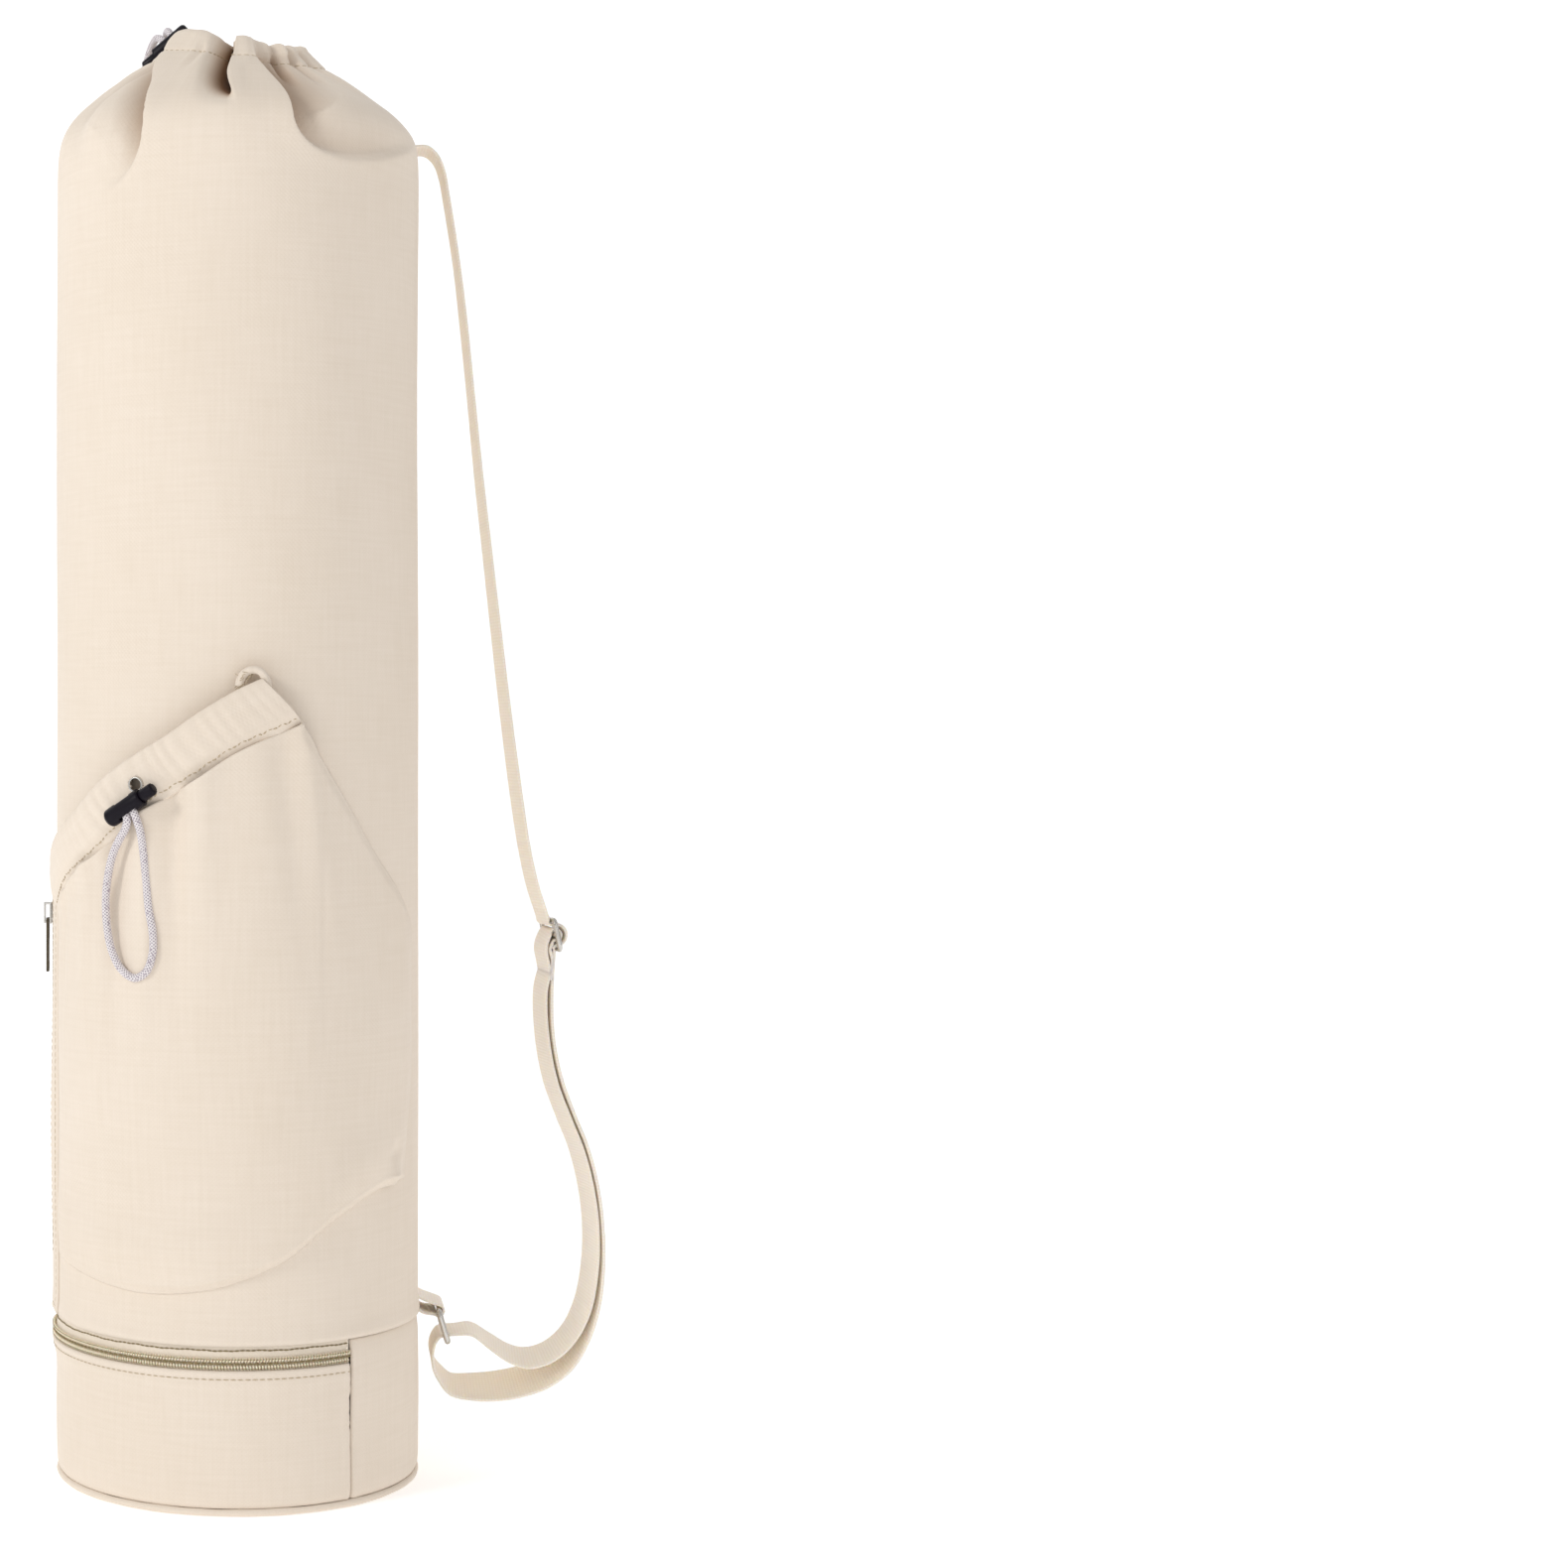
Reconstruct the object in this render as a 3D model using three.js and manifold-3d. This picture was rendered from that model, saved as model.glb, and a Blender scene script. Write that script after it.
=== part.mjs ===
// Yoga mat bag in cotton canvas, millimetres, +Z up, origin at the middle of the flat bottom.
// The front of the bag, with the bottle pocket, faces -Y, and the shoulder strap hangs on the +X side.
// Angles round the bag are degrees from the front, growing towards +X.
import * as THREE from "three";
import { mergeVertices } from "three/addons/utils/BufferGeometryUtils.js";
import Module from "manifold-3d";

const wasm = await Module();
wasm.setup();

// Clearance and cloth
const GAP = 0.3; // left between neighbouring pieces
const CANVAS = 1.6; // thickness of one canvas wall

// Main tube and gathered neck
const TUBE_RADIUS = 86;
const SEAM_HEIGHT = 76; // where the tube ends above the bottom zip
const SHOULDER_HEIGHT = 626; // where the canvas starts to close in
const NECK_HEIGHT = 681; // top of the gathered ruffle
const NECK_RADIUS = 29; // middle of the folds at the top
const FOLD_DEPTH = 5.2; // how far a neck fold stands out or in
const RUFFLE = 2.2; // how far the top edge rises and falls

// Foot of the bag
const BASE_THICKNESS = 2.4;
const PIPING_RADIUS = 2;
const CHAIN_WIDTH = 5.6; // both rows of zip coils
const CHAIN_THICKNESS = 2;
const ZIP_HEIGHT = 68.7; // middle of the bottom zip chain
const ZIP_END_ANGLE = 37; // right end of the bottom zip
const ZIP_SWEEP = 228; // the zip runs from there to the left and round the back
const TAPE_THICKNESS = 1;
const TAPE_OVERLAP = 4; // how far the tape is sewn in behind the canvas

// Bottle pocket
const POCKET_FLOOR = 98.4;
const POCKET_HEIGHT = 258;
const POCKET_LEFT = -76;
const POCKET_RIGHT = 70;
const POCKET_CORNER = 63.5; // lower right corner
const POCKET_BELLY = 6; // how far the middle stands off the tube
const MOUTH_STAND = 8; // how far the hem stands off the tube
const HEM_START = 0.045; // the hem's ends, as shares of the pocket's width
const HEM_END = 0.647;
const HEM_WIDTH = 22;
const HEM_THICKNESS = 5.4;
const HEM_WALL = 1.2;
const EYELET_RADIUS = 4;
const EYELET_HOLE = 2.6;
const EYELET_THICKNESS = 1.2;

// Drawcords and their locks
const CORD_RADIUS = 1.83;
const BARREL_RADIUS = 4.3;
const BARREL_LENGTH = 20.5;
const BARREL_SLOT_START = 6.2;
const BARREL_SLOT_LENGTH = 9.8;
const BUTTON_RADIUS = 2.9;
const BUTTON_OUT = 7.5; // the part of the button that shows
const BUTTON_STEM = 1.6; // the part inside the barrel
const BUTTON_TRAVEL = 2.2;

// Side pocket with its upright zip
const SIDE_FROM = -77.5;
const SIDE_TO = -128;
const SIDE_BOTTOM = 77;
const SIDE_MARGIN = 16; // of panel above the zip
const SIDE_ZIP_ANGLE = -90;
const SIDE_ZIP_BOTTOM = 108;
const SIDE_ZIP_TOP = 272;

// Shoulder strap and its hardware
const STRAP_WIDTH = 25;
const STRAP_THICKNESS = 1.4;
const STRAP_REACH = 88; // how far it bows out from the tube
const ANCHOR_HEIGHT = 631;
const STRAP_BACK = 12; // how far the strap hangs behind the middle
const WIRE_RADIUS = 1.3; // adjuster
const RING_WIRE_RADIUS = 1.5;
const RING_PITCH = 15; // between the ring's two long bars
const TAB_REACH = 10; // from the tube to the bar that the tab holds

const UP = new THREE.Vector3(0, 0, 1);
const bag = new THREE.Group();

const smooth = (t) => t * t * (3 - 2 * t);
const clamp01 = (t) => Math.min(1, Math.max(0, t));

function round(angle, radius, z) {
  const a = THREE.MathUtils.degToRad(angle);
  return new THREE.Vector3(radius * Math.sin(a), -radius * Math.cos(a), z);
}

// The value of one column of a table at a place between its rows.
function between(rows, key, column, at) {
  const i = Math.max(1, rows.findIndex((row) => row[key] >= at));
  const [low, high] = at > rows.at(-1)[key] ? rows.slice(-2) : [rows[i - 1], rows[i]];
  const t = clamp01((at - low[key]) / (high[key] - low[key]));
  return low[column] + (high[column] - low[column]) * t;
}

function shape(points, faces) {
  const g = new THREE.BufferGeometry();
  g.setAttribute("position", new THREE.Float32BufferAttribute(points.flatMap((p) => p.toArray()), 3));
  g.setIndex(faces.flat());
  return g;
}

function solid(geometry) {
  const bare = geometry.index ? geometry.clone() : mergeVertices(geometry.clone());
  bare.deleteAttribute("normal");
  bare.deleteAttribute("uv");
  const merged = mergeVertices(bare, 1e-3);
  const mesh = new wasm.Mesh({
    numProp: 3,
    vertProperties: merged.attributes.position.array,
    triVerts: new Uint32Array(merged.index.array),
  });
  return new wasm.Manifold(mesh);
}

function geometryOf(made) {
  const mesh = made.getMesh();
  const g = new THREE.BufferGeometry();
  g.setAttribute("position", new THREE.BufferAttribute(mesh.vertProperties, 3));
  g.setIndex(new THREE.BufferAttribute(mesh.triVerts, 1));
  return g;
}

function piece(name, geometry, material) {
  const mesh = new THREE.Mesh(geometry, material);
  mesh.name = name;
  bag.add(mesh);
  return mesh;
}

// A cloth sheet with two faces. outer and inner give a point for across and up, both 0 to 1.
// A closed sheet joins its left edge to its right one.
function sheet(columns, rows, outer, inner, closed = false) {
  const wide = closed ? columns : columns + 1;
  const points = [];
  for (const side of [outer, inner]) {
    for (let j = 0; j <= rows; j++) {
      for (let i = 0; i < wide; i++) points.push(side(i / columns, j / rows));
    }
  }
  const half = wide * (rows + 1);
  const at = (i, j, side) => (i % wide) + j * wide + side * half;
  const faces = [];
  const quad = (a, b, c, d) => faces.push([a, b, c], [a, c, d]);
  for (let j = 0; j < rows; j++) {
    for (let i = 0; i < columns; i++) {
      quad(at(i, j, 0), at(i + 1, j, 0), at(i + 1, j + 1, 0), at(i, j + 1, 0));
      quad(at(i, j, 1), at(i, j + 1, 1), at(i + 1, j + 1, 1), at(i + 1, j, 1));
    }
  }
  for (let i = 0; i < columns; i++) {
    quad(at(i, 0, 1), at(i + 1, 0, 1), at(i + 1, 0, 0), at(i, 0, 0));
    quad(at(i, rows, 0), at(i + 1, rows, 0), at(i + 1, rows, 1), at(i, rows, 1));
  }
  for (let j = 0; j < rows && !closed; j++) {
    quad(at(0, j, 0), at(0, j + 1, 0), at(0, j + 1, 1), at(0, j, 1));
    quad(at(columns, j, 1), at(columns, j + 1, 1), at(columns, j + 1, 0), at(columns, j, 0));
  }
  return shape(points, faces);
}

// A row of closed sections joined into one solid. Each section is a list of points.
// A hollow one has as many points in its inner outline, and its ends stay open.
function loft(outer, inner = null) {
  const sides = outer[0].length;
  const last = outer.length - 1;
  const points = [...outer.flat(), ...(inner ? inner.flat() : [])];
  const at = (ring, k, side = 0) => (side * outer.length + ring) * sides + (k % sides);
  const faces = [];
  const quad = (a, b, c, d) => faces.push([a, b, c], [a, c, d]);
  for (let r = 0; r < last; r++) {
    for (let k = 0; k < sides; k++) {
      quad(at(r, k), at(r, k + 1), at(r + 1, k + 1), at(r + 1, k));
      if (inner) quad(at(r, k, 1), at(r + 1, k, 1), at(r + 1, k + 1, 1), at(r, k + 1, 1));
    }
  }
  for (let k = 0; k < sides; k++) {
    if (inner) {
      quad(at(0, k, 1), at(0, k + 1, 1), at(0, k + 1), at(0, k));
      quad(at(last, k), at(last, k + 1), at(last, k + 1, 1), at(last, k, 1));
    } else if (k > 0 && k < sides - 1) {
      faces.push([at(0, 0), at(0, k + 1), at(0, k)], [at(last, 0), at(last, k), at(last, k + 1)]);
    }
  }
  return shape(points, faces);
}

// Materials
function cloth(color) {
  return new THREE.MeshStandardMaterial({ color, roughness: 0.92, metalness: 0 });
}
function metal(color) {
  return new THREE.MeshStandardMaterial({ color, roughness: 0.3, metalness: 1 });
}
function plastic(color) {
  return new THREE.MeshStandardMaterial({ color, roughness: 0.42, metalness: 0 });
}
const canvas = () => cloth(0xe9ddcd);
const webbing = () => cloth(0xede0d2);
const zipCoil = () => plastic(0xf3ebd6);
const lockPlastic = () => plastic(0x1c1722);
const cordBraid = () => cloth(0xe9e4e8);
const nickel = () => metal(0xc9c9cc);

// Main tube with its gathered neck. Each fold is a valley, with a ridge between it and the next one.
const NECK_FOLDS = [
  { at: -176, lean: 2, deep: 0.9 },
  { at: -141, lean: -3, deep: 1.0 },
  { at: -104, lean: 3, deep: 0.8 },
  { at: -61, lean: 7, deep: 1.1 },
  { at: -8, lean: -1, deep: 1.25 },
  { at: 22, lean: 8, deep: 1.15 },
  { at: 52, lean: -2, deep: 0.9 },
  { at: 86, lean: 3, deep: 1.0 },
  { at: 118, lean: -3, deep: 0.85 },
  { at: 151, lean: 2, deep: 1.05 },
];
const SHOULDER_ROWS = [
  { step: 0, out: 1, up: 0, fold: 0 },
  { step: 1, out: 0.985, up: 0.1, fold: 0.1 },
  { step: 2, out: 0.92, up: 0.2, fold: 0.24 },
  { step: 3, out: 0.77, up: 0.34, fold: 0.44 },
  { step: 4, out: 0.56, up: 0.49, fold: 0.68 },
  { step: 5, out: 0.33, up: 0.66, fold: 0.88 },
  { step: 6, out: 0.13, up: 0.83, fold: 1 },
  { step: 7, out: 0, up: 1, fold: 1.05 },
];
const TUBE_ROWS = 4;
const SHOULDER_STEPS = SHOULDER_ROWS.length - 1;
const TUBE_COLUMNS = 72;

function foldWave(angle, lean) {
  const valleys = NECK_FOLDS.map((f) => ({ at: f.at + f.lean * lean, deep: f.deep }));
  valleys.push({ at: valleys[0].at + 360, deep: valleys[0].deep });
  const turned = angle < valleys[0].at ? angle + 360 : angle;
  const i = valleys.findIndex((v, k) => k > 0 && turned <= v.at);
  const t = (turned - valleys[i - 1].at) / (valleys[i].at - valleys[i - 1].at);
  const deep = valleys[i - 1].deep + (valleys[i].deep - valleys[i - 1].deep) * t;
  const ridge = Math.sin(Math.PI * t) ** 2;
  return ridge - deep * (1 - ridge);
}

function tubeSurface(across, up) {
  const angle = across * 360 - 180;
  const row = up * (TUBE_ROWS + SHOULDER_STEPS);
  if (row <= TUBE_ROWS) {
    return round(angle, TUBE_RADIUS, SEAM_HEIGHT + ((SHOULDER_HEIGHT - SEAM_HEIGHT) * row) / TUBE_ROWS);
  }
  const step = row - TUBE_ROWS;
  const read = (column) => between(SHOULDER_ROWS, "step", column, step);
  const wave = foldWave(angle, 1 - read("up"));
  const radius = NECK_RADIUS + (TUBE_RADIUS - NECK_RADIUS) * read("out") + FOLD_DEPTH * read("fold") * wave;
  const rim = RUFFLE * Math.max(0, read("fold") - 0.8) * 4 * wave;
  return round(angle, radius, SHOULDER_HEIGHT + (NECK_HEIGHT - SHOULDER_HEIGHT) * read("up") + rim);
}

// The inner face lies one wall inside, square to the cloth.
function tubeInside(across, up) {
  const e = 1e-3;
  const here = tubeSurface(across, up);
  const side = tubeSurface(across + e, up).sub(tubeSurface(across - e, up));
  const low = Math.max(0, up - e);
  const rise = tubeSurface(across, Math.min(1, up + e)).sub(tubeSurface(across, low));
  const outward = side.cross(rise).normalize();
  return here.addScaledVector(outward, -CANVAS);
}
const tubeShell = sheet(TUBE_COLUMNS, TUBE_ROWS + SHOULDER_STEPS, tubeSurface, tubeInside, true);

// A round wall between two angles.
function wall(from, to, low, high, outside, thickness, columns) {
  const angle = (across) => from + (to - from) * across;
  const at = (radius) => (across, up) => round(angle(across), radius, low + (high - low) * up);
  return sheet(columns, 1, at(outside), at(outside - thickness));
}

// Foot: bottom, piping, band, hinge panel and zip
const zipGapBottom = ZIP_HEIGHT - CHAIN_WIDTH / 2 - GAP;
const wallBottom = PIPING_RADIUS * 2 + GAP * 2;
const zipLeft = ZIP_END_ANGLE - ZIP_SWEEP;
const seamAngle = THREE.MathUtils.radToDeg(GAP / TUBE_RADIUS);
const tapeOutside = TUBE_RADIUS - CANVAS - GAP;

piece(
  "lower_band",
  wall(zipLeft, ZIP_END_ANGLE - seamAngle, wallBottom, zipGapBottom, TUBE_RADIUS, CANVAS, 36),
  canvas(),
);
piece(
  "hinge_panel",
  wall(ZIP_END_ANGLE, zipLeft + 360 - seamAngle, wallBottom, SEAM_HEIGHT - GAP, TUBE_RADIUS, CANVAS, 20),
  canvas(),
);
const pipingCentre = TUBE_RADIUS - CANVAS / 2 + PIPING_RADIUS / 4;
const basePanelRadius = pipingCentre - PIPING_RADIUS - GAP;
const basePanel = new THREE.CylinderGeometry(basePanelRadius, basePanelRadius, BASE_THICKNESS, 56);
piece("base_panel", basePanel.rotateX(Math.PI / 2).translate(0, 0, BASE_THICKNESS / 2), canvas());
const piping = new THREE.TorusGeometry(pipingCentre, PIPING_RADIUS, 8, 56);
piece("base_piping", piping.translate(0, 0, PIPING_RADIUS + GAP), canvas());
piece(
  "bottom_zip_tape",
  wall(
    zipLeft,
    ZIP_END_ANGLE,
    zipGapBottom - TAPE_OVERLAP,
    SEAM_HEIGHT + TAPE_OVERLAP,
    tapeOutside,
    TAPE_THICKNESS,
    36,
  ),
  cloth(0xefe6cf),
);
const chainOutside = tapeOutside + GAP + CHAIN_THICKNESS;
piece(
  "bottom_zip_chain",
  wall(
    zipLeft + seamAngle,
    ZIP_END_ANGLE - seamAngle * 2,
    ZIP_HEIGHT - CHAIN_WIDTH / 2,
    ZIP_HEIGHT + CHAIN_WIDTH / 2,
    chainOutside,
    CHAIN_THICKNESS,
    36,
  ),
  zipCoil(),
);

// The slider of the bottom zip is out of sight at the back: one plain body with its tab hanging on it.
const SLIDER_WIDTH = 8;
const SLIDER_LENGTH = 10;
const SLIDER_THICKNESS = 2.2;
const TAB_LENGTH = 18;
function block(width, depth, height, x, y, z) {
  return new THREE.BoxGeometry(width, depth, height).translate(x, y, z);
}
const bottomSliderAngle = zipLeft + 9;
const sliderStand = chainOutside + GAP + SLIDER_THICKNESS / 2;
const bottomSlider = solid(
  block(SLIDER_LENGTH, SLIDER_THICKNESS, SLIDER_WIDTH, 0, -sliderStand - 0.4, ZIP_HEIGHT),
).add(
  solid(
    block(
      SLIDER_WIDTH / 2,
      1.2,
      TAB_LENGTH,
      0,
      -sliderStand - SLIDER_THICKNESS / 2 - 0.9,
      ZIP_HEIGHT - TAB_LENGTH / 2 + 2,
    ),
  ),
);
piece(
  "bottom_zip_slider",
  geometryOf(bottomSlider).rotateZ(THREE.MathUtils.degToRad(bottomSliderAngle)),
  nickel(),
);

// Bottle pocket. across runs from its left edge to its right one, top and bottom are shares of its height.
const POCKET_COLUMNS = [
  { across: 0, bottom: 0.03, top: 0.634 },
  { across: 0.1, bottom: 0.02, top: 0.7 },
  { across: 0.235, bottom: 0.006, top: 0.768 },
  { across: 0.335, bottom: 0, top: 0.84 },
  { across: 0.45, bottom: 0.008, top: 0.905 },
  { across: 0.52, bottom: 0.02, top: 0.949 },
  { across: HEM_END, bottom: 0.062, top: 1 },
  { across: 0.747, bottom: 0.119, top: 0.874 },
  { across: 0.838, bottom: 0.157, top: 0.767 },
  { across: 0.92, bottom: 0.176, top: 0.7 },
  { across: 1, bottom: 0.18, top: 0.634 },
];
const pocketEdge = (column) => (across) =>
  POCKET_FLOOR + POCKET_HEIGHT * between(POCKET_COLUMNS, "across", column, across);
const pocketTop = pocketEdge("top");
const pocketBottom = pocketEdge("bottom");

function mouthStand(across) {
  return MOUTH_STAND * Math.sin(Math.PI * clamp01(across / (HEM_END * 1.06))) ** 0.8;
}
function pocketStand(across, up) {
  return mouthStand(across) * up * up + POCKET_BELLY * Math.sin(Math.PI * across) * Math.sin(Math.PI * up);
}
function pocketAngle(across, up) {
  const right = POCKET_CORNER + (POCKET_RIGHT - POCKET_CORNER) * smooth(clamp01(up * 2));
  return POCKET_LEFT + (right - POCKET_LEFT) * across;
}
const pocketFace = (thickness) => (across, up) => {
  const z = pocketBottom(across) + (pocketTop(across) - pocketBottom(across)) * up;
  return round(pocketAngle(across, up), TUBE_RADIUS + GAP + pocketStand(across, up) + thickness, z);
};
piece("bottle_pocket", sheet(24, 8, pocketFace(CANVAS), pocketFace(0)), canvas());

// The hem is a flat cloth tube along the slanted edge, open at its ends, where the drawcord runs.
// hemPoint: a place on the unrolled hem, across its length, wide from its middle, out from the tube.
function hemPoint(across, wide, out) {
  const e = 0.01;
  const arc = (a) => THREE.MathUtils.degToRad(pocketAngle(a, 1)) * TUBE_RADIUS;
  const low = Math.max(0, across - e);
  const high = Math.min(HEM_END, across + e);
  const run = arc(high) - arc(low);
  const rise = pocketTop(high) - pocketTop(low);
  const long = Math.hypot(run, rise);
  const reach = HEM_WIDTH / 2 + GAP + wide;
  const angle = THREE.MathUtils.radToDeg((arc(across) - (rise / long) * reach) / TUBE_RADIUS);
  return round(
    angle,
    TUBE_RADIUS + GAP + mouthStand(across) + HEM_THICKNESS / 2 + out,
    pocketTop(across) + (run / long) * reach,
  );
}
const HEM_SECTION = [
  { wide: -1, out: 0 },
  { wide: -0.9, out: 0.75 },
  { wide: -0.6, out: 1 },
  { wide: 0, out: 1 },
  { wide: 0.6, out: 1 },
  { wide: 0.9, out: 0.75 },
  { wide: 1, out: 0 },
  { wide: 0.9, out: -0.75 },
  { wide: 0.6, out: -1 },
  { wide: 0, out: -1 },
  { wide: -0.6, out: -1 },
  { wide: -0.9, out: -0.75 },
];
function hemRings(inset) {
  const rings = [];
  for (let i = 0; i <= 16; i++) {
    const across = HEM_START + ((HEM_END - HEM_START) * i) / 16;
    const ring = HEM_SECTION.map((p) =>
      hemPoint(across, p.wide * (HEM_WIDTH / 2 - inset), p.out * (HEM_THICKNESS / 2 - inset)),
    );
    rings.push(ring.reverse());
  }
  return rings;
}
const hemTube = solid(loft(hemRings(0), hemRings(HEM_WALL)));

// A frame of directions at a place on the bag: right along the tube, out of it, and up.
function placeAt(angle, radius, z) {
  const a = THREE.MathUtils.degToRad(angle);
  const right = new THREE.Vector3(Math.cos(a), Math.sin(a), 0);
  const out = new THREE.Vector3(Math.sin(a), -Math.cos(a), 0);
  return { at: round(angle, radius, z), right, out };
}
function turned(geometry, x, y, z, at) {
  return geometry.applyMatrix4(new THREE.Matrix4().makeBasis(x, y, z).setPosition(at));
}
function rod(radius, length, sides) {
  return new THREE.CylinderGeometry(radius, radius, length, sides).rotateX(Math.PI / 2);
}

// An eyelet is a rolled metal ring that lies on the cloth.
function eyelet() {
  const low = -EYELET_THICKNESS / 2;
  const high = EYELET_THICKNESS / 2;
  const profile = [
    [EYELET_HOLE, low],
    [EYELET_RADIUS, low],
    [EYELET_RADIUS - 0.4, high * 0.7],
    [(EYELET_RADIUS + EYELET_HOLE) / 2, high],
    [EYELET_HOLE + 0.2, high * 0.6],
    [EYELET_HOLE, low],
  ];
  return new THREE.LatheGeometry(profile.map(([r, z]) => new THREE.Vector2(r, z)), 20).rotateX(Math.PI / 2);
}

// Cord lock: a barrel with a round closed end at its origin, along +Z, and a slot through it along Y.
function lockBarrel() {
  const nose = 2.2;
  const profile = [
    [0, 0],
    [BARREL_RADIUS * 0.72, 0.25],
    [BARREL_RADIUS * 0.95, nose * 0.55],
    [BARREL_RADIUS, nose],
    [BARREL_RADIUS, BARREL_LENGTH - 0.6],
    [BARREL_RADIUS - 0.5, BARREL_LENGTH],
    [BUTTON_RADIUS + GAP, BARREL_LENGTH],
    [BUTTON_RADIUS + GAP, BARREL_LENGTH - BUTTON_STEM - BUTTON_TRAVEL - GAP],
    [0, BARREL_LENGTH - BUTTON_STEM - BUTTON_TRAVEL - GAP],
  ];
  const turnedBody = new THREE.LatheGeometry(profile.map(([r, z]) => new THREE.Vector2(r, z)), 16);
  const slotWide = (CORD_RADIUS + GAP * 2.5) * 2;
  const slot = block(
    slotWide,
    BARREL_RADIUS * 3,
    BARREL_SLOT_LENGTH,
    0,
    0,
    BARREL_SLOT_START + BARREL_SLOT_LENGTH / 2,
  );
  return geometryOf(solid(turnedBody.rotateX(Math.PI / 2)).subtract(solid(slot)));
}
function lockButton() {
  const length = BUTTON_OUT + BUTTON_STEM;
  const profile = [
    [0, 0],
    [BUTTON_RADIUS, 0],
    [BUTTON_RADIUS, length - 0.8],
    [BUTTON_RADIUS - 0.8, length],
    [0, length],
  ];
  const made = new THREE.LatheGeometry(profile.map(([r, z]) => new THREE.Vector2(r, z)), 16);
  return made.rotateX(Math.PI / 2).translate(0, 0, BARREL_LENGTH - BUTTON_STEM);
}

// A lock lies with its axis along one direction and its slot along another.
function lockAt(name, nose, axis, through) {
  const z = axis.clone().normalize();
  const x = through.clone().cross(z).normalize();
  const y = z.clone().cross(x);
  piece(name + "_barrel", turned(lockBarrel(), x, y, z, nose), lockPlastic());
  piece(name + "_button", turned(lockButton(), x, y, z, nose), lockPlastic());
}

const lockStand = TUBE_RADIUS + GAP + MOUTH_STAND + HEM_THICKNESS + 2 * GAP + BARREL_RADIUS;
const LOCK_RISE = 0.53; // how steeply the pocket's lock lies, as the sine of its slope
const lockPlace = placeAt(-33.7, lockStand, POCKET_FLOOR + POCKET_HEIGHT * 0.831);
const lockMiddle = placeAt(-28.5, lockStand, 0);
const lockAxis = lockMiddle.right.clone().multiplyScalar(Math.sqrt(1 - LOCK_RISE ** 2));
lockAxis.addScaledVector(UP, LOCK_RISE);
lockAt("pocket_lock", lockPlace.at, lockAxis, lockMiddle.out.clone().cross(lockAxis));

// The eyelet sits in the outer face of the hem, just above the lock, over a round hole.
const EYELET_ACROSS = 0.364;
const eyeletOut = HEM_THICKNESS / 2 + GAP + EYELET_THICKNESS / 2;
const eyeletCentre = hemPoint(EYELET_ACROSS, 0, eyeletOut);
const eyeletNormal = new THREE.Vector3(eyeletCentre.x, eyeletCentre.y, 0).normalize();
const eyeletRight = UP.clone().cross(eyeletNormal);
const hemHole = turned(rod(EYELET_HOLE, HEM_THICKNESS, 16), eyeletRight, UP, eyeletNormal, eyeletCentre);
piece("pocket_hem", geometryOf(hemTube.subtract(solid(hemHole))), canvas());
piece("pocket_eyelet", turned(eyelet(), eyeletRight, UP, eyeletNormal, eyeletCentre), nickel());

// The neck's lock lies on the shoulder, on the left and a little behind the middle.
const NECK_LOCK_ANGLE = -104;
const NECK_LOCK_LIFT = 6.2; // degrees less steep than the shoulder that it lies along
const NECK_LOCK_INSET = 10.3; // how far its nose reaches over the neck's mouth
const NECK_LOCK_STAND = 0.75; // how far its cord holds it off the canvas, over the usual gap
const SHOULDER_SAMPLES = 40;
const neckSlope = Math.atan2(NECK_HEIGHT - SHOULDER_HEIGHT, TUBE_RADIUS - NECK_RADIUS);
const neckLockSlope = neckSlope - THREE.MathUtils.degToRad(NECK_LOCK_LIFT);
const neckAxis = round(NECK_LOCK_ANGLE, Math.cos(neckLockSlope), -Math.sin(neckLockSlope));
const neckNormal = round(NECK_LOCK_ANGLE, Math.sin(neckLockSlope), Math.cos(neckLockSlope));

// How far along the normal a lock must move so that its round body clears the shoulder under it.
function liftOffShoulder(nose) {
  const reach = BARREL_RADIUS + GAP;
  let lift = -Infinity;
  for (let i = 0; i <= SHOULDER_SAMPLES; i++) {
    const up = (TUBE_ROWS + (SHOULDER_STEPS * i) / SHOULDER_SAMPLES) / (TUBE_ROWS + SHOULDER_STEPS);
    for (let j = -SHOULDER_SAMPLES; j <= SHOULDER_SAMPLES; j++) {
      const across = (NECK_LOCK_ANGLE + j + 180) / 360;
      const from = tubeSurface(across, up).sub(nose);
      const along = from.dot(neckAxis);
      const high = from.dot(neckNormal);
      const aside = Math.sqrt(Math.max(0, from.lengthSq() - along ** 2 - high ** 2));
      if (along < 0 || along > BARREL_LENGTH + BUTTON_OUT || aside > reach) {
        continue;
      }
      lift = Math.max(lift, high + Math.sqrt(reach ** 2 - aside ** 2));
    }
  }
  return lift;
}
const neckNose = round(NECK_LOCK_ANGLE, NECK_RADIUS - NECK_LOCK_INSET, NECK_HEIGHT);
neckNose.addScaledVector(neckNormal, liftOffShoulder(neckNose) + NECK_LOCK_STAND);
const neckThrough = new THREE.Vector3(0, 0.35, 1).addScaledVector(neckAxis, 0.5465);
lockAt("neck_lock", neckNose, neckAxis, neckThrough);

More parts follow.
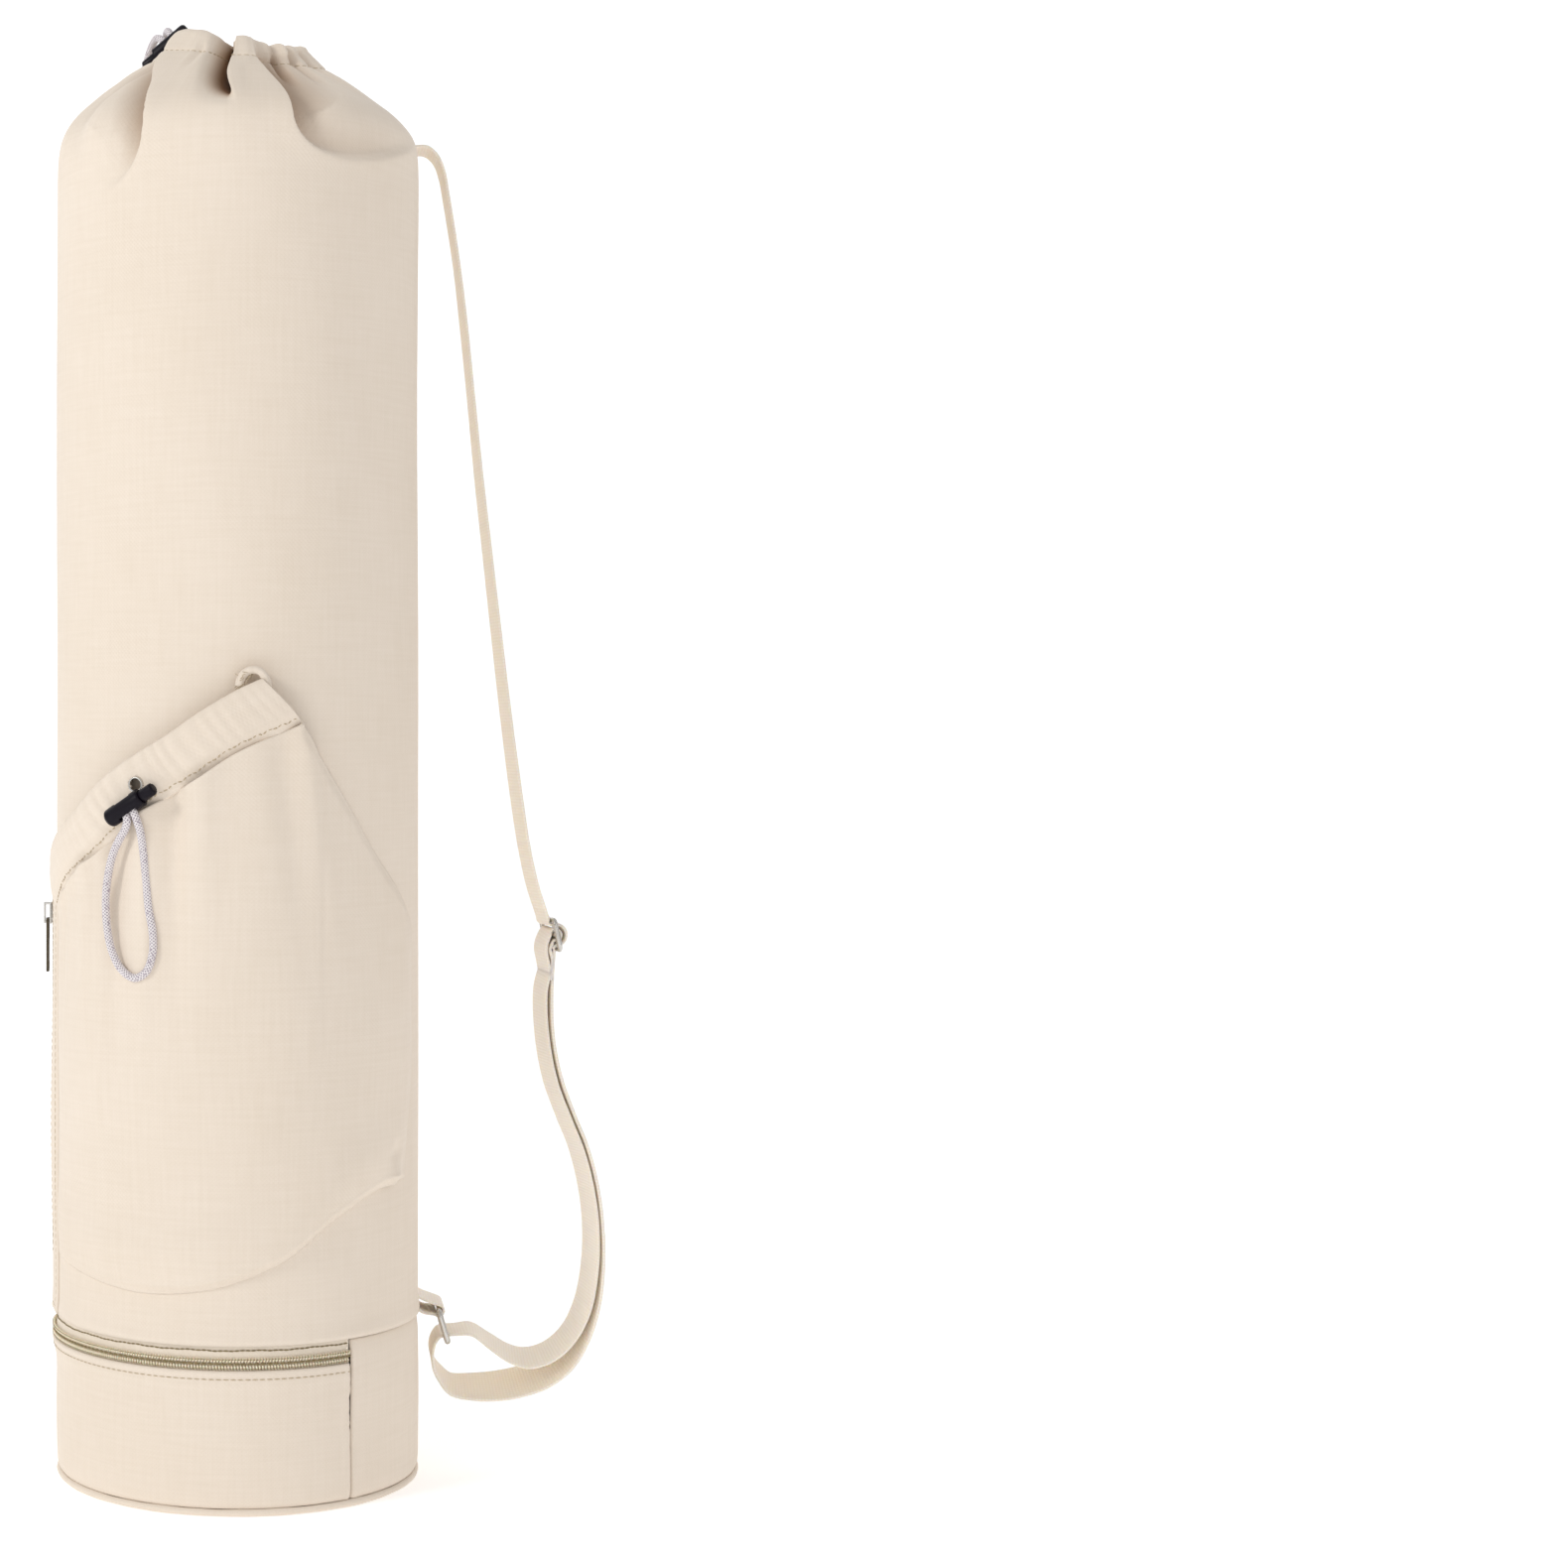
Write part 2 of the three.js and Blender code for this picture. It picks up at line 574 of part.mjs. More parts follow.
// Drawcords, as lists of places along their middle. Each runs out of its lock, down and back into it.
const POCKET_CORD = [
  [-52.0, -90.5, 319.0], [-50.4, -91.4, 316.5], [-49.4, -92.0, 313.4], [-50.1, -90.5, 309.4],
  [-52.9, -86.9, 304.3], [-55.6, -83.4, 298.5], [-57.8, -80.8, 290.5], [-59.3, -78.9, 279.0],
  [-59.0, -79.0, 266.4], [-56.8, -80.6, 254.5], [-52.3, -83.5, 245.8], [-46.3, -87.0, 242.1],
  [-41.0, -89.6, 245.0], [-38.0, -91.0, 253.5], [-38.0, -91.0, 263.0], [-39.8, -90.4, 273.5],
  [-41.0, -90.1, 287.0], [-42.2, -90.6, 299.0], [-43.5, -91.9, 308.0], [-45.4, -93.2, 314.2],
  [-46.9, -93.2, 317.6], [-48.9, -92.2, 321.3],
];
const NECK_CORD = [
  [-29.3, 6.8, 681.5], [-30.9, 8.5, 684.1], [-32.4, 10.4, 686.7], [-33.6, 13.8, 688.9],
  [-34.4, 19.0, 689.2], [-35.2, 25.5, 686.5], [-36.0, 32.5, 681.3], [-36.6, 41.0, 674.2],
  [-37.0, 50.5, 666.5], [-37.2, 60.0, 658.6], [-37.2, 69.5, 650.0], [-37.0, 77.0, 640.0],
  [-36.8, 80.9, 627.0], [-36.8, 80.9, 600.0], [-36.8, 80.9, 572.0], [-37.8, 80.4, 556.0],
  [-41.0, 78.9, 548.6], [-45.4, 76.4, 545.8], [-49.8, 73.6, 548.6], [-52.6, 71.6, 556.0],
  [-53.4, 71.1, 575.0], [-53.4, 71.1, 605.0], [-53.2, 71.2, 627.0], [-52.6, 68.0, 640.0],
  [-51.4, 60.7, 651.0], [-49.8, 52.0, 659.6], [-47.8, 43.5, 667.2], [-45.6, 35.0, 674.2],
  [-43.4, 27.0, 680.2], [-41.0, 20.2, 684.4], [-38.9, 14.9, 685.8], [-36.6, 11.8, 684.4],
  [-34.4, 9.3, 681.2], [-32.8, 7.6, 678.6],
];
function tube(route, radius, sides, steps) {
  const path = new THREE.CatmullRomCurve3(route.map((p) => new THREE.Vector3(...p)), false, "centripetal");
  const section = new THREE.Shape();
  for (let k = 0; k < sides; k++) {
    const a = (2 * Math.PI * k) / sides;
    section[k ? "lineTo" : "moveTo"](radius * Math.cos(a), radius * Math.sin(a));
  }
  return new THREE.ExtrudeGeometry(section, { steps, bevelEnabled: false, extrudePath: path });
}
piece("pocket_cord", tube(POCKET_CORD, CORD_RADIUS, 8, 30), cordBraid());
piece("neck_cord", tube(NECK_CORD, CORD_RADIUS, 8, 46), cordBraid());

// Side pocket: a flat panel with an upright slot, in which the zip chain lies.
const sidePanelOutside = TUBE_RADIUS + GAP + CANVAS;
const slotWidth = CHAIN_WIDTH + 2 * GAP;
const sideChainLength = SIDE_ZIP_TOP - SIDE_ZIP_BOTTOM;
const sidePanel = solid(
  wall(SIDE_TO, SIDE_FROM, SIDE_BOTTOM, SIDE_ZIP_TOP + SIDE_MARGIN, sidePanelOutside, CANVAS, 10),
).subtract(
  solid(
    block(
      slotWidth,
      CANVAS * 4,
      sideChainLength + 2 * GAP,
      0,
      -sidePanelOutside,
      (SIDE_ZIP_TOP + SIDE_ZIP_BOTTOM) / 2,
    ).rotateZ(THREE.MathUtils.degToRad(SIDE_ZIP_ANGLE)),
  ),
);
piece("side_pocket", geometryOf(sidePanel), canvas());
const sideChain = block(
  CHAIN_WIDTH,
  CHAIN_THICKNESS,
  sideChainLength,
  0,
  -TUBE_RADIUS - GAP - CHAIN_THICKNESS / 2,
  (SIDE_ZIP_TOP + SIDE_ZIP_BOTTOM) / 2,
);
piece("side_zip_chain", sideChain.rotateZ(THREE.MathUtils.degToRad(SIDE_ZIP_ANGLE)), zipCoil());

// Slider with a bridge, and the pull whose cross bar turns under the bridge.
const SLIDER_HEIGHT = 10;
const SLIDER_PLATE = 1;
const BRIDGE_ROOM = 2; // under the bridge
const BRIDGE_THICKNESS = 0.9;
const BRIDGE_WIDTH = 2.2;
const BRIDGE_POST = 1.1;
const PULL_BAR = 0.65; // radius of the pull's cross bar
const PULL_WIDTH = 6.6;
const PULL_ARM = 1.2;
const PULL_ARM_LENGTH = 9.2;
const PULL_LENGTH = 25;
const PULL_THICKNESS = 1.2;
const sliderTop = SIDE_ZIP_TOP - 2;
const plateInside = TUBE_RADIUS + GAP + CHAIN_THICKNESS + GAP;
const barStand = plateInside + SLIDER_PLATE + BRIDGE_ROOM / 2;
const barHeight = sliderTop - SLIDER_HEIGHT + BRIDGE_POST + GAP + PULL_BAR;
const bridgeInside = plateInside + SLIDER_PLATE + BRIDGE_ROOM;
const sliderMiddle = sliderTop - SLIDER_HEIGHT / 2;
const post = (z) =>
  block(
    BRIDGE_WIDTH,
    SLIDER_PLATE + BRIDGE_ROOM + BRIDGE_THICKNESS,
    BRIDGE_POST,
    0,
    -plateInside - (SLIDER_PLATE + BRIDGE_ROOM + BRIDGE_THICKNESS) / 2,
    z,
  );
const slider = solid(
  block(SLIDER_WIDTH, SLIDER_PLATE, SLIDER_HEIGHT, 0, -plateInside - SLIDER_PLATE / 2, sliderMiddle),
)
  .add(solid(post(sliderTop - SLIDER_HEIGHT + BRIDGE_POST / 2)))
  .add(solid(post(sliderTop - BRIDGE_POST / 2)))
  .add(
    solid(
      block(
        BRIDGE_WIDTH,
        BRIDGE_THICKNESS,
        SLIDER_HEIGHT,
        0,
        -bridgeInside - BRIDGE_THICKNESS / 2,
        sliderMiddle,
      ),
    ),
  );
const toSide = THREE.MathUtils.degToRad(SIDE_ZIP_ANGLE);
piece("side_zip_slider", geometryOf(slider).rotateZ(toSide), nickel());

const armPlace = (PULL_WIDTH - PULL_ARM) / 2;
const tabHeight = PULL_LENGTH - PULL_ARM_LENGTH;
const arm = (x) =>
  block(PULL_ARM, PULL_THICKNESS, PULL_ARM_LENGTH + 1, x, -barStand, barHeight - PULL_ARM_LENGTH / 2);
const crossBar = new THREE.CylinderGeometry(PULL_BAR, PULL_BAR, PULL_WIDTH, 10).rotateZ(Math.PI / 2);
const pull = solid(crossBar.translate(0, -barStand, barHeight))
  .add(solid(arm(-armPlace)))
  .add(solid(arm(armPlace)))
  .add(
    solid(
      block(
        PULL_WIDTH,
        PULL_THICKNESS,
        tabHeight,
        0,
        -barStand,
        barHeight - PULL_ARM_LENGTH - tabHeight / 2,
      ),
    ),
  )
  .subtract(
    solid(
      block(
        PULL_WIDTH - 2 * PULL_ARM,
        PULL_THICKNESS * 3,
        3.6,
        0,
        -barStand,
        barHeight - PULL_LENGTH + PULL_ARM + 1.8,
      ),
    ),
  );
piece("side_zip_pull", geometryOf(pull).rotateZ(toSide), nickel());

// Ring and its tab, sewn in above the hinge panel
const barPlace = new THREE.Vector3(TUBE_RADIUS + TAB_REACH, STRAP_BACK, SEAM_HEIGHT - 1.4);
const RING_FALL = 0.96; // how steeply the ring hangs, as the sine of its slope
const ringDown = new THREE.Vector3(Math.sqrt(1 - RING_FALL ** 2), 0, -RING_FALL);
const ringOut = new THREE.Vector3(RING_FALL, 0, Math.sqrt(1 - RING_FALL ** 2));
const ACROSS = new THREE.Vector3(0, 1, 0);
const ringLong = STRAP_WIDTH + 4;

// A flat wire frame with its long bars across the strap. Its middle is at the origin, bars along Y.
function frame(pitch, long, wire, bars) {
  let made = null;
  const add = (geometry) => {
    made = made ? made.add(solid(geometry)) : solid(geometry);
  };
  for (const x of bars) add(new THREE.CylinderGeometry(wire, wire, long, 10).translate(x * pitch, 0, 0));
  for (const end of [-1, 1]) {
    const rail = new THREE.CylinderGeometry(wire, wire, pitch * (bars.at(-1) - bars[0]) + wire * 1.6, 10);
    const middle = (pitch * (bars.at(-1) + bars[0])) / 2;
    add(rail.rotateX(Math.PI / 10).rotateZ(Math.PI / 2).translate(middle, (end * long) / 2, 0));
  }
  return geometryOf(made);
}
const ringGeometry = frame(RING_PITCH, ringLong, RING_WIRE_RADIUS, [0, 1]);
piece("strap_ring", turned(ringGeometry, ringDown, ACROSS, ringOut, barPlace), nickel());

// A flat band of webbing along a route of places (x, z). A place gives the roll of the near edge in
// degrees, or the direction that the band is wide in.
function band(route, width, thickness, back) {
  const sections = route.map((p, i) => {
    const before = route[Math.max(0, i - 1)];
    const after = route[Math.min(route.length - 1, i + 1)];
    const along = new THREE.Vector3(after.x - before.x, 0, after.z - before.z).normalize();
    const beside = new THREE.Vector3(-along.z, 0, along.x);
    const roll = THREE.MathUtils.degToRad(p.roll ?? 0);
    const rolled = ACROSS.clone().multiplyScalar(Math.cos(roll)).addScaledVector(beside, -Math.sin(roll));
    const wide = p.wide ?? rolled;
    const thick = along.clone().cross(wide).normalize();
    const corner = (a, b) =>
      new THREE.Vector3(p.x, back, p.z)
        .addScaledVector(wide, (a * width) / 2)
        .addScaledVector(thick, (b * thickness) / 2);
    return [corner(-1, -1), corner(1, -1), corner(1, 1), corner(-1, 1)];
  });
  return loft(sections);
}
function arc(x, z, radius, from, to, steps) {
  const points = [];
  for (let i = 0; i <= steps; i++) {
    const a = THREE.MathUtils.degToRad(from + ((to - from) * i) / steps);
    points.push({ x: x + radius * Math.cos(a), z: z + radius * Math.sin(a) });
  }
  return points;
}
const tabBend = RING_WIRE_RADIUS + GAP + STRAP_THICKNESS / 2;
const tabStart = TUBE_RADIUS + GAP + 0.2;
const tabRoute = [
  { x: tabStart, z: barPlace.z + 7.5 },
  { x: tabStart + TAB_REACH * 0.4, z: barPlace.z + 5 },
  ...arc(barPlace.x, barPlace.z, tabBend, 70, -130, 9),
  { x: tabStart + TAB_REACH * 0.3, z: barPlace.z - 0.6 },
  { x: tabStart, z: barPlace.z + 3.2 },
];
piece("ring_tab", band(tabRoute, STRAP_WIDTH - 2, STRAP_THICKNESS, STRAP_BACK), webbing());

// Strap adjuster: a frame with three bars
const slotOpening = 2 * STRAP_THICKNESS + 6 * GAP;
const barPitch = slotOpening + 2 * WIRE_RADIUS;
const ADJUSTER_OUT = 0.735; // shares of the strap's reach and of the anchor's height
const ADJUSTER_UP = 0.4025;
const adjuster = { x: TUBE_RADIUS + STRAP_REACH * ADJUSTER_OUT, z: ANCHOR_HEIGHT * ADJUSTER_UP };
const ADJUSTER_LEAN = 0.2; // how far it leans outwards on its way down
const down = new THREE.Vector3(ADJUSTER_LEAN, 0, -Math.sqrt(1 - ADJUSTER_LEAN ** 2));
const out = new THREE.Vector3(-down.z, 0, down.x);
const ADJUSTER_ROLL = 7.5;
const rollAxis = (v) => v.applyAxisAngle(down, THREE.MathUtils.degToRad(-ADJUSTER_ROLL));
const adjusterGeometry = frame(barPitch, ringLong, WIRE_RADIUS, [-1, 0, 1]);
const adjusterPlace = new THREE.Vector3(adjuster.x, STRAP_BACK, adjuster.z);
piece(
  "strap_adjuster",
  turned(adjusterGeometry, down, rollAxis(ACROSS.clone()), rollAxis(out.clone()), adjusterPlace),
  nickel(),
);

// Places near the adjuster, along it and out of it, turned into places on the bag.
const adjusterWide = rollAxis(ACROSS.clone());
const nearAdjuster = (along, aside) => ({
  x: adjuster.x + down.x * along + out.x * aside,
  z: adjuster.z + down.z * along + out.z * aside,
  wide: adjusterWide,
});
const nearArc = (centre, radius, from, to, steps) =>
  arc(centre, 0, radius, from, to, steps).map((p) => nearAdjuster(p.x, p.z));
const endBend = WIRE_RADIUS + GAP + STRAP_THICKNESS / 2;
const midBend = barPitch - endBend;
const layer = STRAP_THICKNESS + 2 * GAP;

// The strap's route: shares of its reach and of the anchor's height, with the roll of its near edge.
const STRAP_DOWN = [
  { out: 0.004, up: 1, roll: 0 },
  { out: 0.055, up: 0.9995, roll: 0 },
  { out: 0.105, up: 0.9935, roll: 0 },
  { out: 0.14, up: 0.982, roll: 1 },
  { out: 0.163, up: 0.965, roll: 1 },
  { out: 0.189, up: 0.943, roll: 1 },
  { out: 0.222, up: 0.912, roll: 1 },
  { out: 0.26, up: 0.867, roll: 2 },
  { out: 0.299, up: 0.813, roll: 2 },
  { out: 0.342, up: 0.752, roll: 3 },
  { out: 0.391, up: 0.691, roll: 4 },
  { out: 0.44, up: 0.63, roll: 5 },
  { out: 0.49, up: 0.57, roll: 6 },
  { out: 0.54, up: 0.516, roll: 7 },
  { out: 0.589, up: 0.47, roll: 7 },
  { out: 0.637, up: 0.439, roll: 7.5 },
];
const STRAP_OUTER = [
  { out: 0.712, up: 0.36, roll: 8 },
  { out: 0.725, up: 0.326, roll: 9 },
  { out: 0.77, up: 0.294, roll: 10 },
  { out: 0.84, up: 0.266, roll: 11 },
  { out: 0.912, up: 0.241, roll: 11 },
  { out: 0.967, up: 0.2115, roll: 11 },
  { out: 0.994, up: 0.181, roll: 11 },
  { out: 0.995, up: 0.15, roll: 12 },
  { out: 0.965, up: 0.121, roll: 13 },
  { out: 0.9, up: 0.097, roll: 15 },
  { out: 0.81, up: 0.0785, roll: 18 },
  { out: 0.7, up: 0.067, roll: 20 },
  { out: 0.57, up: 0.0605, roll: 21 },
  { out: 0.43, up: 0.057, roll: 20 },
  { out: 0.3, up: 0.0565, roll: 17 },
  { out: 0.19, up: 0.0585, roll: 12 },
];
const STRAP_INNER = [
  { out: 0.3, up: 0.1005, roll: -3 },
  { out: 0.4, up: 0.0915, roll: -6 },
  { out: 0.5, up: 0.0825, roll: -8 },
  { out: 0.6, up: 0.0785, roll: -10 },
  { out: 0.72, up: 0.083, roll: -10 },
  { out: 0.83, up: 0.0965, roll: -10 },
  { out: 0.908, up: 0.118, roll: -11 },
  { out: 0.95, up: 0.149, roll: -11 },
  { out: 0.954, up: 0.181, roll: -11 },
  { out: 0.928, up: 0.2095, roll: -11 },
  { out: 0.876, up: 0.238, roll: -11 },
  { out: 0.806, up: 0.2625, roll: -11 },
  { out: 0.733, up: 0.2905, roll: -10 },
  { out: 0.688, up: 0.3245, roll: -9 },
  { out: 0.68, up: 0.36, roll: -8 },
];
const strapPlace = (row) => ({
  x: TUBE_RADIUS + STRAP_REACH * row.out,
  z: ANCHOR_HEIGHT * row.up,
  roll: row.roll,
});
const lowBar = barPlace.clone().addScaledVector(ringDown, RING_PITCH);
const ringWrap = [
  { x: lowBar.x - 2.5, z: lowBar.z - 18.5, roll: 7 },
  { x: lowBar.x - 6, z: lowBar.z - 13, roll: 3 },
  { x: lowBar.x - 7, z: lowBar.z - 6.5, roll: 0 },
  { x: lowBar.x - 5.8, z: lowBar.z - 1.2, roll: 0 },
  { x: lowBar.x - 3.2, z: lowBar.z + 2.1, roll: 0 },
  { x: lowBar.x + 0.4, z: lowBar.z + 2.75, roll: 0 },
  { x: lowBar.x + 5, z: lowBar.z + 3.1, roll: 0 },
];
const strapRoute = [
  ...STRAP_DOWN.map(strapPlace),
  ...nearArc(-barPitch, endBend, 250, 360, 4),
  ...nearArc(0, midBend, 180, 0, 7).slice(1, -1),
  ...nearArc(barPitch, endBend, 180, 270, 4),
  ...STRAP_OUTER.map(strapPlace),
  ...ringWrap,
  ...STRAP_INNER.map(strapPlace),
  nearAdjuster(barPitch * 1.7, -endBend - layer),
  nearAdjuster(barPitch * 1.15, -endBend - layer + 0.1),
  nearAdjuster(barPitch * 0.85, -endBend - layer * 0.9),
  nearAdjuster(barPitch * 0.62, -endBend - layer * 0.35),
  nearAdjuster(barPitch * 0.43, -endBend * 0.8),
  ...nearArc(0, endBend, -10, 235, 9),
  nearAdjuster(barPitch * 0.12, -endBend - layer * 0.65),
  nearAdjuster(barPitch * 0.5, -endBend - layer * 1.45),
  nearAdjuster(barPitch, -endBend - layer * 1.95),
  nearAdjuster(barPitch * 1.7, -endBend - layer * 2),
  nearAdjuster(barPitch * 2.9, -endBend - layer * 2.05),
];
piece("shoulder_strap", band(strapRoute, STRAP_WIDTH, STRAP_THICKNESS, STRAP_BACK), webbing());

piece("body_tube", tubeShell, canvas());

export default bag;
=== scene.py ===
# %% [markdown]
# # A cotton canvas yoga mat bag
# The bag is a tall tube of unbleached canvas with a gathered neck, a slanted bottle pocket, two coil zips
# and a webbing strap. The solids that hold its size come from the frame. Each cell below dresses one part
# of it.

# %% Load the frame
import math

import bmesh
import bpy
import numpy as np
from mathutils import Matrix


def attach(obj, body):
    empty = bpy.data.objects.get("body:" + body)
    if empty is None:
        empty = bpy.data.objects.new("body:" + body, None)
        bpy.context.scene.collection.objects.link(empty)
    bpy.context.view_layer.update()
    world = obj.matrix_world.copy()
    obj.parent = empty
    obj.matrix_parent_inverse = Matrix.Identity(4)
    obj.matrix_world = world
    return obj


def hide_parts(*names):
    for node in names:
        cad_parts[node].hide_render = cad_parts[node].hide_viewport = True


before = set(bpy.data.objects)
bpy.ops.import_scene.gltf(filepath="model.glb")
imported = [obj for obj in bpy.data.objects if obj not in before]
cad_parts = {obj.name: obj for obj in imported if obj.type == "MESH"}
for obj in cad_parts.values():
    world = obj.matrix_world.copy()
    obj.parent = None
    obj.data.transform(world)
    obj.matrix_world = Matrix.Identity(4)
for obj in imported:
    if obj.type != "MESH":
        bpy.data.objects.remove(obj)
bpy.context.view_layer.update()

MM = 0.001  # Blender works in metres, and every shape below is worked out in millimetres
scene = bpy.context.scene
print("frame nodes:", len(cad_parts))

# %% [markdown]
# ## Helpers for shapes
# Every piece is a surface of two parameters. A grid of points becomes quads between neighbours, and a
# second grid keeps the flat cloth's own measure as a UV map in millimetres, so that the weave follows the
# cloth.


# %% Grid, spline and mesh helpers
def stacked(*columns):
    """Arrays of matching shapes as one array, side by side on its last axis."""
    return np.stack(np.broadcast_arrays(*columns), -1)


def bell(x, width):
    """exp(-(x / width)²): 1 where x is 0, and next to nothing beyond twice the width."""
    return np.exp(-((x / width) ** 2))


def ring(sides):
    """Angles of a full turn in radians, in even steps, without the last, which would be the first again."""
    return np.linspace(0, 2 * np.pi, sides, endpoint=False)


def graded(*stretches, end):
    """Places on a line in stretches of (start, count), each up to the next start, the last up to end."""
    starts, counts = zip(*stretches)
    places = [np.linspace(a, b, n, endpoint=False) for a, b, n in zip(starts, starts[1:], counts)]
    return np.concatenate([*places, np.linspace(starts[-1], end, counts[-1])])


def grid_faces(rows, cols, wrap=False):
    """Quads between neighbours of a grid of points; with wrap the last column joins the first."""
    r, c = np.meshgrid(np.arange(rows - 1), np.arange(cols if wrap else cols - 1), indexing="ij")
    here, beside = r * cols + c, r * cols + (c + 1) % cols
    return np.stack([here, beside, beside + cols, here + cols], -1).reshape(-1, 4)


def tube_faces(rows, sides):
    """Faces of a tube with a cap at each end, and the same for its UV grid, which is one column wider."""
    both = []
    for cols, wrap in ((sides, True), (sides + 1, False)):
        last = (rows - 1) * cols
        quads = [tuple(f) for f in grid_faces(rows, cols, wrap)]
        both.append(quads + [tuple(reversed(range(sides))), tuple(last + k for k in range(sides))])
    return both


def mesh_of(name, points, faces, uv=None, uv_faces=None):
    """Puts arrays of points in millimetres, faces and a UV point for each into a smooth mesh in metres."""
    mesh = bpy.data.meshes.new(name)
    mesh.from_pydata((np.asarray(points, float).reshape(-1, 3) * MM).tolist(), [], [list(f) for f in faces])
    mesh.polygons.foreach_set("use_smooth", np.ones(len(mesh.polygons), bool))
    if uv is not None:
        corners = np.concatenate([np.asarray(f) for f in uv_faces])
        layer = mesh.uv_layers.new(name="cloth")
        places = np.asarray(uv, float).reshape(-1, 2)[corners]
        layer.data.foreach_set("uv", places.astype(np.float32).ravel())
    mesh.validate()
    return mesh


def grid_mesh(name, points, uv=None, wrap=False):
    """A mesh from a grid of points. A wrapped grid's UV grid has one more column than its points."""
    rows, cols = points.shape[:2]
    faces = grid_faces(rows, cols, wrap)
    uv_faces = grid_faces(rows, cols + 1) if wrap else faces
    return mesh_of(name, points, faces, uv, uv_faces)


def run_of(points):
    """Length along a row of points, from 0."""
    return np.concatenate([[0], np.cumsum(np.linalg.norm(np.diff(points, axis=0), axis=1))])


def sampled(at, run, values):
    """Rows of values that belong to lengths run along a line, read off at other lengths."""
    return np.stack([np.interp(at, run, values[:, k]) for k in range(values.shape[1])], -1)


SPLINE_STEPS = 24  # between two of the given points


def spline(points, count):
    """Evenly spaced points on a centripetal Catmull-Rom curve through the given ones."""
    p = np.asarray(points, float)
    p = np.vstack([2 * p[0] - p[1], p, 2 * p[-1] - p[-2]])
    knot = np.concatenate([[0], np.cumsum(np.linalg.norm(np.diff(p, axis=0), axis=1) ** 0.5)])
    share = np.linspace(0, 1, SPLINE_STEPS, endpoint=False)
    out = []
    for i in range(1, len(p) - 2):
        t0, t1, t2, t3 = knot[i - 1 : i + 3]
        t = (t1 + (t2 - t1) * share)[:, None]
        a1 = (t1 - t) / (t1 - t0) * p[i - 1] + (t - t0) / (t1 - t0) * p[i]
        a2 = (t2 - t) / (t2 - t1) * p[i] + (t - t1) / (t2 - t1) * p[i + 1]
        a3 = (t3 - t) / (t3 - t2) * p[i + 1] + (t - t2) / (t3 - t2) * p[i + 2]
        b1 = (t2 - t) / (t2 - t0) * a1 + (t - t0) / (t2 - t0) * a2
        b2 = (t3 - t) / (t3 - t1) * a2 + (t - t1) / (t3 - t1) * a3
        out.append((t2 - t) / (t2 - t1) * b1 + (t - t1) / (t2 - t1) * b2)
    dense = np.vstack([*out, p[-2][None]])
    run = run_of(dense)
    return sampled(np.linspace(0, run[-1], count), run, dense)


def unit(v):
    """Vectors made one long."""
    return v / np.maximum(np.linalg.norm(v, axis=-1, keepdims=True), 1e-12)


def smooth(t):
    """From 0 to 1 as t goes from 0 to 1, easing in and out: t² (3 - 2 t)."""
    t = np.clip(t, 0, 1)
    return t * t * (3 - 2 * t)


def around(angle, radius, z):
    """Points round the bag: angle in degrees from the front towards the strap, radius and height in mm."""
    a = np.radians(angle)
    return stacked(radius * np.sin(a), -radius * np.cos(a), z)


def outward(angle):
    """Directions straight out of the bag at angles in degrees."""
    return around(angle, 1.0, 0.0)


# %% [markdown]
# ## Helpers for pieces
# A piece is a mesh with its finish that rides on one body of the frame. Cloth gets its wall from Solidify,
# which also closes the edges. Stitches and zip coils are one small template laid many times along a line.


# %% Piece, wall and template helpers
def piece(mesh, material, body="bag", replaces=()):
    """Shows a mesh as a piece of its own name, on the body it rides on, in place of the nodes it replaces."""
    obj = bpy.data.objects.new(mesh.name, mesh)
    scene.collection.objects.link(obj)
    mesh.materials.append(material)
    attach(obj, body)
    if replaces:
        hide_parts(*replaces)
    print(f"{mesh.name}: {len(mesh.polygons)} faces")
    return obj


def bead(long, wide, high, rings=5, sides=6):
    """A rounded bar along x. At the share t of its half length it has (1 - t²)^0.6 of its full thickness."""
    at = np.linspace(-1, 1, rings)[:, None]
    size = np.maximum(1 - at**2, 0.12) ** 0.6
    turn = ring(sides)
    points = stacked(at * long / 2, size * np.cos(turn) * wide / 2, size * np.sin(turn) * high / 2)
    return points.reshape(-1, 3), tube_faces(rings, sides)[0]


def lay(template, origins, x_axes, z_axes):
    """Copies of a template at places, with its x and z axes along given directions. Returns points, faces."""
    points, faces = template
    x, z = unit(x_axes), unit(z_axes)
    y = unit(np.cross(z, x))
    z = np.cross(x, y)
    laid = (
        origins[:, None]
        + points[None, :, :1] * x[:, None]
        + points[None, :, 1:2] * y[:, None]
        + points[None, :, 2:] * z[:, None]
    )
    every = [tuple(k + i * len(points) for k in f) for i in range(len(origins)) for f in faces]
    return laid.reshape(-1, 3), every


def joined(name, parts):
    """Several parts of points and faces as one mesh."""
    points, faces, start = [], [], 0
    for p, f in parts:
        points.append(p)
        faces += [tuple(k + start for k in face) for face in f]
        start += len(p)
    return mesh_of(name, np.vstack(points), faces)


def stitches(line, out, long, pitch, thick, lift=0.1):
    """Threads along a line of points, each a rounded bar on the cloth. out holds the cloth's normals."""
    run = run_of(line)
    at = np.arange(pitch / 2, run[-1], pitch)
    here, ahead, behind = (sampled(at + step, run, line) for step in (0, 0.5, -0.5))
    normal = unit(sampled(at, run, out))
    return lay(bead(long, thick, thick * 0.9), here + normal * lift, ahead - behind, normal)


